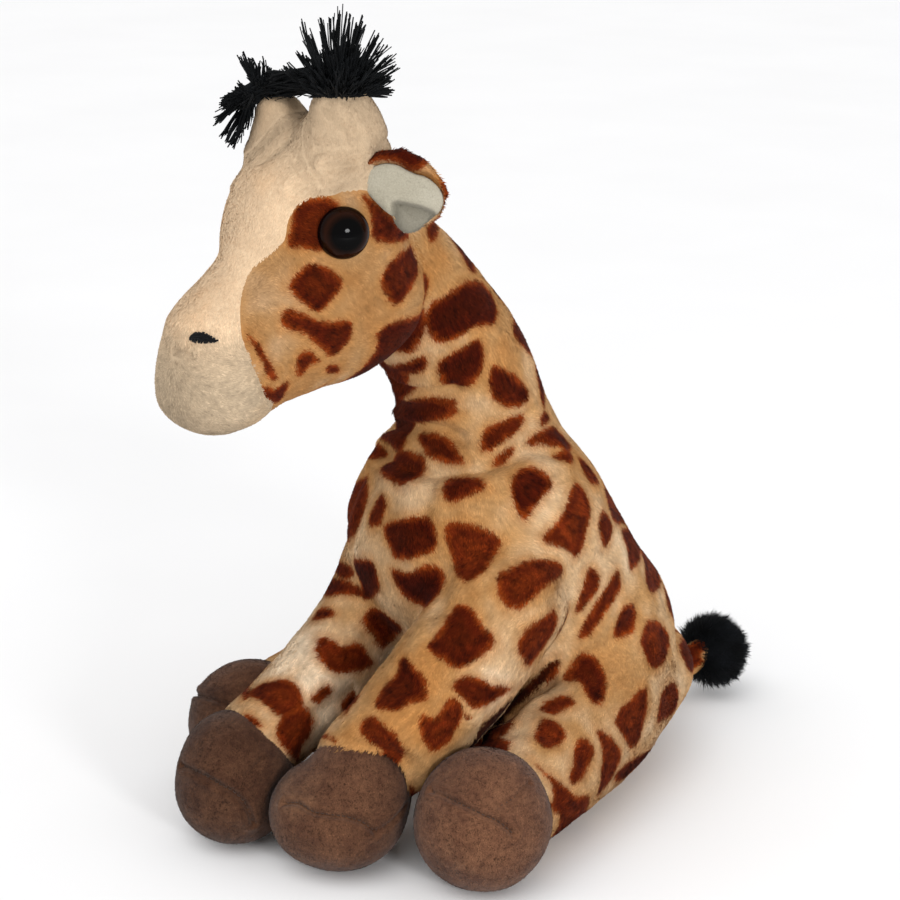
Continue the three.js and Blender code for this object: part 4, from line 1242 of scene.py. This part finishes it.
# ------------------------------------------------------------------ eyes
for label, (at, axis) in EYES.items():
    rows, around = 40, 96
    R, height = EYE_RADIUS, 5.3
    curve = (R * R + height * height) / (2 * height)
    limit = math.asin(min(R / curve, 1))
    ref = unit(np.cross(axis, [0, 0, 1]))
    ref2 = np.cross(axis, ref)
    verts, ringval = [at + axis * (height + 0.3)], [0.0]
    profile = []
    for i in range(1, rows + 1):
        a = limit * i / rows
        r = curve * math.sin(a) / R
        # flatter than a ball in the middle, and rounder towards the rim
        profile.append((r * R, 0.3 + height * (1 - r ** 2.35) ** 0.62, r))
    profile += [(R + 0.12, 0.0, 1.0), (R + 0.1, -0.6, 1.0), (R - 0.6, -1.3, 1.0), (1.6, -1.4, 1.0), (1.6, -8.5, 1.0), (0.8, -9.2, 1.0)]
    for rad, z, val in profile:
        for j in range(around):
            th = 2 * math.pi * j / around
            verts.append(at + axis * z + rad * (math.cos(th) * ref + math.sin(th) * ref2))
            ringval.append(val)
    verts.append(at - axis * 9.3)
    ringval.append(1.0)
    verts = np.array(verts)
    i = np.arange(len(profile) * around).reshape(len(profile), around) + 1
    q = np.stack([i[:-1], i[1:], np.roll(i[1:], -1, 1), np.roll(i[:-1], -1, 1)], -1).reshape(-1, 4)
    tris = np.vstack([q[:, [0, 1, 2]], q[:, [0, 2, 3]], np.stack([np.zeros(around, int), i[0], np.roll(i[0], -1)], 1), np.stack([np.full(around, len(verts) - 1), np.roll(i[-1], -1), i[-1]], 1)])
    if np.dot(np.cross(verts[tris[-1 - around, 1]] - verts[0], verts[tris[-1 - around, 2]] - verts[0]), axis) < 0:
        tris = tris[:, ::-1]
    ob = build("eye_dome_" + label, verts, tris, EYE, values=ringval)
    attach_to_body(ob, "head")
    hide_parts("eye_" + label)

# ------------------------------------------------------------------ nostrils: a slanted bar of satin stitches
face_v, face_t, face_n = skins["face"]
face_tree = BVHTree.FromPolygons(face_v.tolist(), face_t.tolist())


def on_face(p, lift=0.0):
    q, n, _, _ = face_tree.find_nearest(Vector(p))
    return np.array(q) + np.array(n) * lift


for label, sign in (("left", 1), ("right", -1)):
    rng = np.random.default_rng(3 + sign)
    ends = []
    for pixel in ((192, 337), (216, 341)):
        o, d = ray(*pixel)
        q = face_tree.ray_cast(Vector(o), Vector(d), 1500)[0]
        q = np.array(q) * [sign, 1, 1]
        ends.append(q if sign > 0 else on_face(q + [-8.0, 13.0, -2.0]))
    a, b = ends
    along = b - a
    n = unit(np.array(face_tree.find_nearest(Vector((a + b) / 2))[1]))
    across = unit(np.cross(n, along))
    if across[2] < 0:
        across = -across
    parts = []
    for i in range(16):
        s = i / 15
        half = 1.75 * math.sin(math.pi * (0.14 + 0.78 * s)) ** 0.8 * (1.15 - 0.55 * s)
        mid = a + along * s + across * (0.5 * math.sin(math.pi * s) * (1 - s) + rng.normal(0, 0.12))
        lean = along / np.linalg.norm(along) * rng.normal(0.5, 0.25)
        path = []
        for k in np.linspace(-1, 1, 7):
            path.append(on_face(mid + across * half * k + lean * k, 0.1 + 0.85 * (1 - k * k)))
        parts.append(tube(catmull(path, 2), 0.32, 6))
    for i in range(7):
        off = across * rng.normal(0.5, 0.7)
        path = [on_face(a + along * k + off * math.sin(math.pi * k), 0.8 + 0.4 * math.sin(math.pi * k)) for k in np.linspace(0.02, 0.98, 8)]
        parts.append(tube(catmull(path, 2), 0.33, 6))
    sv, st = joined(parts)
    ob = build("nostril_thread_" + label, sv, st, THREAD)
    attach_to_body(ob, "head")
    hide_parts("nostril_" + label)

# ------------------------------------------------------------------ ears
EAR_PLANE_AT, EAR_PLANE_N = np.array([26.8, -6.5, 238.0]), unit([0.58, -0.80, 0.12])
EAR_U = unit(np.cross(EAR_PLANE_N, [0, 0, 1]))
EAR_W = np.cross(EAR_PLANE_N, EAR_U)
EAR_OUTLINE = [(364, 173), (366, 162), (372, 155), (381, 151.5), (393, 150.5), (402, 149.5), (411, 153), (421, 158), (429, 163.5), (436, 172), (443, 183), (446.5, 192), (445, 200), (442, 209), (438, 217), (430, 222.5), (420, 227), (409, 229), (400, 224), (391, 214), (379, 203), (369, 191)]
LINING_OUTLINE = [(362, 180), (366, 172), (371, 168), (380, 164.5), (389, 163.5), (399, 165.5), (407, 170), (416, 174), (425, 176.5), (433, 181.5), (440, 189), (443.3, 198), (442.5, 206), (438.5, 213), (431, 219.5), (424, 225.5), (416, 231), (409, 233), (402.5, 231.5), (397, 226), (394, 221), (392.5, 216), (389, 213), (384, 209), (377, 202.5), (370.5, 195.5), (365, 189)]
FLAP = [(434, 213), (426, 208.5), (412, 204.5), (396, 202.5), (394, 210), (393, 224), (404, 240), (425, 236), (440, 222)]


def on_ear_plane(px, py):
    o, d = ray(px, py)
    return o + d * (((EAR_PLANE_AT - o) @ EAR_PLANE_N) / (d @ EAR_PLANE_N))


def in_ear(p):
    return np.stack([(p - EAR_PLANE_AT) @ EAR_U, (p - EAR_PLANE_AT) @ EAR_W], 1)


def ear_ring(pixels):
    return catmull(in_ear(np.array([on_ear_plane(*q) for q in pixels])), 6, True)


lining_ring, flap_ring = ear_ring(LINING_OUTLINE), ear_ring(FLAP)
band_ring = ear_ring([(360, 170), (365, 154), (373, 146), (388, 142), (402, 140), (413, 145), (424, 150), (431, 158), (427.5, 165), (421, 170.5), (412, 171.5), (399, 165), (384, 161), (372, 164)])
tip_ring = ear_ring([(440, 176), (454, 182), (456, 200), (448, 222), (432, 230), (424, 228), (440, 214), (443.5, 200)])


def ring_depth(q, ring):
    return ring_distance(q, ring) * np.where(in_ring(q, ring), 1, -1)


def leaf(outline, rows, front, back):
    """A closed leaf. front and back give each point's height off the ear's plane; r runs from the middle (0) to the rim (1)."""
    ring = catmull([on_ear_plane(*q) for q in outline], 7, True)
    centre, m = ring.mean(0), len(ring)
    rs = np.sin(np.linspace(0, math.pi / 2, rows + 1))[1:]
    at = lambda r: centre + (ring - centre) * r
    fronts = [at(r) + EAR_PLANE_N * front(np.full(m, r), at(r))[:, None] for r in rs]
    backs = [at(r) - EAR_PLANE_N * back(np.full(m, r), at(r))[:, None] for r in rs[:-1][::-1]]
    first = centre + EAR_PLANE_N * front(np.zeros(1), centre[None])[0]
    last = centre - EAR_PLANE_N * back(np.zeros(1), centre[None])[0]
    rings = fronts + backs
    verts = np.vstack([first[None], *rings, last[None]])
    i = np.arange(len(rings) * m).reshape(len(rings), m) + 1
    q = np.stack([i[:-1], np.roll(i[:-1], -1, 1), np.roll(i[1:], -1, 1), i[1:]], -1).reshape(-1, 4)
    t = np.vstack([q[:, [0, 1, 2]], q[:, [0, 2, 3]], np.stack([np.zeros(m, int), np.roll(i[0], -1), i[0]], 1), np.stack([np.full(m, len(verts) - 1), i[-1], np.roll(i[-1], -1)], 1)])
    if (np.cross(verts[t[:, 1]] - verts[t[:, 0]], verts[t[:, 2]] - verts[t[:, 0]]) * (verts[t].mean(1) - verts.mean(0))).sum() < 0:
        t = t[:, ::-1]
    return verts, t


def ear_front(r, p):
    out = -ring_depth(in_ear(p), lining_ring)
    return (-0.9 + 3.4 * smooth(-1.0, 2.4, out)) * smooth(1.0, 0.9, r) + 0.2


def ear_back(r, p):
    return 4.6 * np.sqrt(np.clip(1 - r ** 2.4, 0, 1)) + 0.2


def lining_front(r, p):
    q = in_ear(p)
    flap = ring_depth(q, flap_ring)
    sunk = smooth(-1.1, 1.0, flap) * (0.5 + 1.5 * np.exp(-np.clip(flap, 0, 9) / 3.0))
    puff = 1.7 * np.sqrt(np.clip(1 - r ** 3, 0, 1)) + 0.6 * np.exp(-((flap + 2.2) / 1.8) ** 2)
    return 0.9 + puff - sunk + 0.3 * noise3(p, 9, 2)


def lining_back(r, p):
    return 0.3 * np.sqrt(np.clip(1 - r ** 2, 0, 1)) - 0.1


ear_v, ear_t = leaf(EAR_OUTLINE, 20, ear_front, ear_back)
lin_v, lin_t = leaf(LINING_OUTLINE, 34, lining_front, lining_back)
TURN = math.radians(-27)
FAR_EAR = np.array([-25.4, -3.4, -2.5])


def ear_place(v, sign):
    """The left ear as it is; the right one mirrored and laid further back."""
    if sign > 0:
        return v
    q = v * [-1, 1, 1] - [-26.8, -5, 0]
    x = q[:, 0] * math.cos(TURN) - q[:, 1] * math.sin(TURN)
    y = q[:, 0] * math.sin(TURN) + q[:, 1] * math.cos(TURN)
    return np.stack([x, y, q[:, 2]], 1) + FAR_EAR


def ear_home(v, sign):
    """Back from ear_place, for the pattern."""
    if sign > 0:
        return v
    q = v - FAR_EAR
    x = q[:, 0] * math.cos(TURN) + q[:, 1] * math.sin(TURN)
    y = -q[:, 0] * math.sin(TURN) + q[:, 1] * math.cos(TURN)
    return (np.stack([x, y, q[:, 2]], 1) + [-26.8, -5, 0]) * [-1, 1, 1]


def ear_colour_for(sign):
    def ear_colour(p, up, rng):
        q = ear_home(p, sign) + rng.normal(0, 0.35, p.shape)
        plane = in_ear(q)
        depth = np.maximum(ring_depth(plane, band_ring), ring_depth(plane, tip_ring))
        back = (q - EAR_PLANE_AT) @ EAR_PLANE_N < -2.6
        depth = np.where(back, np.maximum(depth - 2, noise3(q, 9, 4) * 5 - 2.2), depth) + 0.4 * noise3(q, 2, 0)
        t = smooth(-0.4, 0.6, depth)[:, None]
        base = np.clip(0.55 + 0.6 * noise3(q, 8, 3), 0, 1)[:, None]
        ground = CREAM * (1 - base) + ORANGE * base
        deep = smooth(0.5, 3, depth)[:, None]
        return ground * (1 - t) + (RUST * (1 - deep) + CHOCOLATE * deep) * t
    return ear_colour


LINING_A, LINING_B = linear("AAA494"), linear("9E9785")


def lining_colour(p, up, rng):
    a = np.clip(0.5 + 0.4 * noise3(p, 8, 2) + 0.1 * noise3(p, 2, 3), 0, 1)[:, None]
    shade = np.zeros(len(p))
    for sign in (1, -1):
        near = p[:, 0] * sign > 0
        flap = ring_depth(in_ear(ear_home(p[near], sign)), flap_ring)
        # painted shade: the lining is darkened inside the fold's lobe, most just below its edge, for the shade the fold
        # casts
        shade[near] = 0.54 * smooth(-1.2, 0.9, flap) * np.exp(-np.clip(flap, 0, 20) / 14.0)
    return (LINING_A * a + LINING_B * (1 - a)) * (1 - shade)[:, None]


for label, sign in (("left", 1), ("right", -1)):
    v = ear_place(ear_v, sign)
    t = ear_t if sign > 0 else ear_t[:, ::-1]
    n = normals_of(v, t)
    v = v + n * (0.35 * noise3(v, 5, 1))[:, None]
    body = "ear_" + label
    ear_colour = ear_colour_for(sign)
    # the ear's backing cloth is made 4% darker than its pile, as painted shade under the blades
    ob = build("ear_plush_" + label, v, t, PLUSH_CLOTH, ear_colour(v, n, colour_rng) * 0.96)
    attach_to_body(ob, body)
    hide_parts("ear_" + label)

    def under_lining(p, sign=sign):
        q = ear_home(p, sign)
        return (ring_depth(in_ear(q), lining_ring) > 0.3) & ((q - EAR_PLANE_AT) @ EAR_PLANE_N > -1.2)

    centre = ear_place(np.array([on_ear_plane(364, 176)]), sign)[0]
    for o in pile("ear_plush_pile_" + label, v, t, n, ear_colour, lambda p: p - centre, 6.0, 1.4, 0.28, skip=under_lining, lie=0.88, mess=0.08, seed=90 + sign):
        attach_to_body(o, body)
    v2 = ear_place(lin_v, sign)
    t2 = lin_t if sign > 0 else lin_t[:, ::-1]
    n2 = normals_of(v2, t2)
    ob = build("ear_lining_plush_" + label, v2, t2, VELOUR, lining_colour(v2, n2, colour_rng))
    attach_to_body(ob, body)
    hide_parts("ear_lining_" + label)
    for o in pile("ear_lining_pile_" + label, v2, t2, n2, lining_colour, lambda p: p - centre, 7.0, 0.55, 0.2, seed=95 + sign, material=VELOUR, lie=0.92, mess=0.08):
        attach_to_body(o, body)

# ------------------------------------------------------------------ yarn tufts on the horns
def beside(px, py, q, nearer=0.0):
    """The point that the camera sees at a pixel, as far away as q is."""
    o, d = ray(px, py)
    return o + d * ((q - o) @ -TOWARD / (d @ -TOWARD) - nearer)


def yarn_end(start, end, rng, plies=4, radius=0.27, loose=0.46, steps=8, fray=0.3, arc=0.0):
    """A cut end of yarn: thin plies side by side that part towards their tips."""
    start, end = np.asarray(start, float), np.asarray(end, float)
    long = np.linalg.norm(end - start)
    bow = unit(rng.normal(0, 1, 3)) * long * rng.uniform(0.02, 0.09) + np.array([0, 0, 1.0]) * arc
    parts = []
    s = np.linspace(0, 1, steps)[:, None]
    for _ in range(plies):
        reach = rng.uniform(0.84, 1.0)
        here = start + rng.normal(0, loose, 3)
        there = start + (end - start) * reach + rng.normal(0, loose + fray, 3)
        path = here + (there - here) * s + bow * np.sin(math.pi * s * 0.9)
        path += np.cumsum(rng.normal(0, 0.07, (steps, 3)), 0) * s
        parts.append(tube(path, radius * rng.uniform(0.8, 1.2), 4, taper=0.25))
    return parts


def knot(c, r, seed, step=0.8):
    """The lump of yarn that the ends come out of."""
    c, r = np.array(c, float), np.array(r, float)
    axes = [np.arange(c[k] - r[k] - 3, c[k] + r[k] + 3, step) for k in range(3)]
    grid = np.stack(np.meshgrid(*axes, indexing="ij"), -1).reshape(-1, 3)
    f = ball_at(grid, c, r) + 0.7 * noise3(grid, 3.0, seed % 6) + 0.4 * noise3(grid, 1.5, (seed + 1) % 6)
    v, t = surface(f.reshape([len(a) for a in axes]), np.array([a[0] for a in axes]), step)
    return relax(v, t, 1), t


def brush(base, disc, tips, count, rng, lengths=(0.55, 0.95), depth=80, plies=4):
    """Yarn ends that stand out of a disc. tips are the pixels that the longest ends reach, in order around the fan."""
    ends = np.array([beside(*q, base) for q in tips]) - base
    along, high = ends @ RIGHT, ends @ UP
    angle, far = np.arctan2(along, high), np.hypot(along, high)
    order = np.argsort(angle)
    angle, far = angle[order], far[order]
    parts = []
    for a, f in zip(angle, far):
        for _ in range(2):
            out = math.sin(a) * RIGHT + math.cos(a) * UP
            tilt = rng.normal(0, 0.16)
            way = unit(out * math.cos(tilt) + TOWARD * math.sin(tilt))
            start = base + disc * 0.6 * math.sin(a) * RIGHT + TOWARD * rng.normal(0, 2)
            parts += yarn_end(start, base + way * f * rng.uniform(0.95, 1.02), rng, plies + 2, fray=0.2)
    for _ in range(count):
        a = rng.uniform(angle[0] - 0.05, angle[-1] + 0.05)
        f = np.interp(a, angle, far) * rng.uniform(*lengths)
        t = math.radians(depth) * rng.uniform(-1, 1)
        way = (math.sin(a) * RIGHT + math.cos(a) * UP) * math.cos(t) + TOWARD * math.sin(t)
        if way[2] < -0.35:
            way[2] *= 0.3
        way = unit(way)
        level = np.array([way[0], way[1], 0.0])
        start = base + level * disc * rng.uniform(0.1, 1.0)
        parts += yarn_end(start, start + way * max(f - disc * 0.45, 3.0), rng, plies)
    return parts


rng = np.random.default_rng(9)
near_top, far_top = np.array([14.6, -3.9, 263.6]), np.array([-15.0, -4.0, 257.2])
near_tips = [(296, 84), (283, 63), (288, 70), (295, 50), (302, 29), (301, 18), (320, 16), (333, 15), (341, 7), (350, 7), (357, 19), (367, 18), (381, 27), (388, 41), (395, 54), (401, 63), (393, 76), (395, 91)]
many = 1.0
left = brush(near_top, 8.2, near_tips, int(320 * many), rng, (0.5, 0.84))
left.append(knot(near_top + [0, 0, 1.2], (8.0, 8.0, 3.4), 1))
for x in np.linspace(316, 364, 26):
    # the ends along the front hang just over the horn's edge
    start = beside(x, 86, near_top, 3.0)
    left += yarn_end(start, beside(x + rng.normal(0, 3), rng.uniform(92, 97), near_top, 8.6), rng, 3, arc=0.8)
far_up = beside(262, 90, far_top)
right = brush(far_up, 4.2, [(240, 54), (244, 60), (249, 56), (256, 62), (264, 61), (272, 68), (281, 70), (290, 72)], int(100 * many), rng, (0.5, 0.8))
far_side = beside(255, 95, far_top)
right += brush(far_side, 4.0, [(236, 84), (232, 90), (240, 86), (227, 101), (221, 110), (216, 118), (214, 128), (220, 141), (225, 149), (231, 151), (240, 141), (246, 130), (250, 118)], int(220 * many), rng, (0.45, 0.74), depth=70)
right.append(knot(beside(256, 92, far_top), (4.4, 4.4, 3.6), 2))
for _ in range(int(110 * many)):
    # yarn lies over the top of the far horn
    start = beside(rng.uniform(252, 262), rng.uniform(84, 97), far_top, rng.uniform(-6, 6))
    right += yarn_end(start, beside(rng.uniform(272, 300), rng.uniform(78, 99), far_top, rng.uniform(-6, 8)), rng, 4, arc=rng.uniform(0.2, 1.4))
for _ in range(int(110 * many)):
    # a lock of yarn lies across the gap between the horns
    start = beside(rng.uniform(306, 326), rng.uniform(68, 90), near_top, rng.uniform(-4, 4))
    end = beside(rng.uniform(258, 292), rng.uniform(72, 97), far_top, rng.uniform(-5, 5))
    left += yarn_end(start, start + (end - start) * rng.uniform(0.6, 1.0), rng, 4, arc=rng.uniform(-0.6, 1.2))
for label, parts in (("left", left), ("right", right)):
    v, t = joined(parts)
    ob = build("yarn_tuft_" + label, v, t, YARN)
    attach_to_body(ob, "head")
    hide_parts("ossicone_tuft_" + label)

# ------------------------------------------------------------------ tail tuft
TUFT_AT, TUFT_R = np.array([7.9, 199.6, 18.4]), np.array([11.4, 9.8, 11.6])
v, t = knot(TUFT_AT, TUFT_R, 4)
n = normals_of(v, t)
BLACK = linear("0B0C0E")
ob = build("tail_tuft_plush", v, t, TAIL_PILE, np.repeat(BLACK[None], len(v), 0))
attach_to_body(ob, "tail")
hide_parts("tail_tuft")
for o in pile("tail_tuft_pile", v, t, n, lambda p, up, rng: np.repeat(BLACK[None], len(p), 0), lambda p: np.repeat([[0.45, 0.85, 0.0]], len(p), 0) + 0.5 * unit(p - TUFT_AT),
              7.0, 5.4, 0.34, lie=0.62, mess=0.24, seed=31, material=TAIL_PILE):
    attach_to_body(o, "tail")

# ------------------------------------------------------------------ carried-over inner nodes
for name, m in (("seat_pellet_bag", BAG), ("eye_washer_left", WASHER), ("eye_washer_right", WASHER)):
    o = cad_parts[name]
    o.data.materials.clear()
    o.data.materials.append(m)

# ------------------------------------------------------------------ floor, light
floor_mat, nt, b = new_material("studio_floor")
g = grain(nt, 6, 2.0)
nt.links.new(ramp(nt, g.outputs["Fac"], [(0.3, (0.86, 0.86, 0.865)), (0.7, (0.88, 0.88, 0.885))]).outputs["Color"], b.inputs["Base Color"])
b.inputs["Roughness"].default_value = 0.9
b.inputs["Specular IOR Level"].default_value = 0.1
me = bpy.data.meshes.new("studio_floor")
me.from_pydata([(-6, -6, 0), (6, -6, 0), (6, 6, 0), (-6, 6, 0)], [], [(0, 1, 2, 3)])
me.materials.append(floor_mat)
floor = bpy.data.objects.new("studio_floor", me)
bpy.context.scene.collection.objects.link(floor)

world = bpy.data.worlds.new("studio")
bpy.context.scene.world = world
world.use_nodes = True
world.node_tree.nodes["Background"].inputs["Color"].default_value = (1.0, 1.0, 1.0, 1)
world.node_tree.nodes["Background"].inputs["Strength"].default_value = 0.80


def area_light(name, place, size, power, colour=(1, 1, 1), aim=(0, 0, 0.13)):
    d = bpy.data.lights.new(name, "AREA")
    d.shape, d.size, d.energy, d.color = "DISK", size, power, colour
    o = bpy.data.objects.new(name, d)
    bpy.context.scene.collection.objects.link(o)
    o.location = place
    o.rotation_euler = (Vector(aim) - Vector(place)).to_track_quat("-Z", "Y").to_euler()
    return o


sun = bpy.data.lights.new("key", "SUN")
sun.energy, sun.angle = 1.25, math.radians(60)
sun_obj = bpy.data.objects.new("key", sun)
bpy.context.scene.collection.objects.link(sun_obj)
sun_obj.visible_glossy = False
sun_obj.rotation_euler = Vector((0.25, -0.95, 1.25)).to_track_quat("Z", "Y").to_euler()
area_light("catch", (1.40, -0.50, 0.42), 0.27, 10.0)
bpy.context.scene.view_settings.view_transform = "Standard"
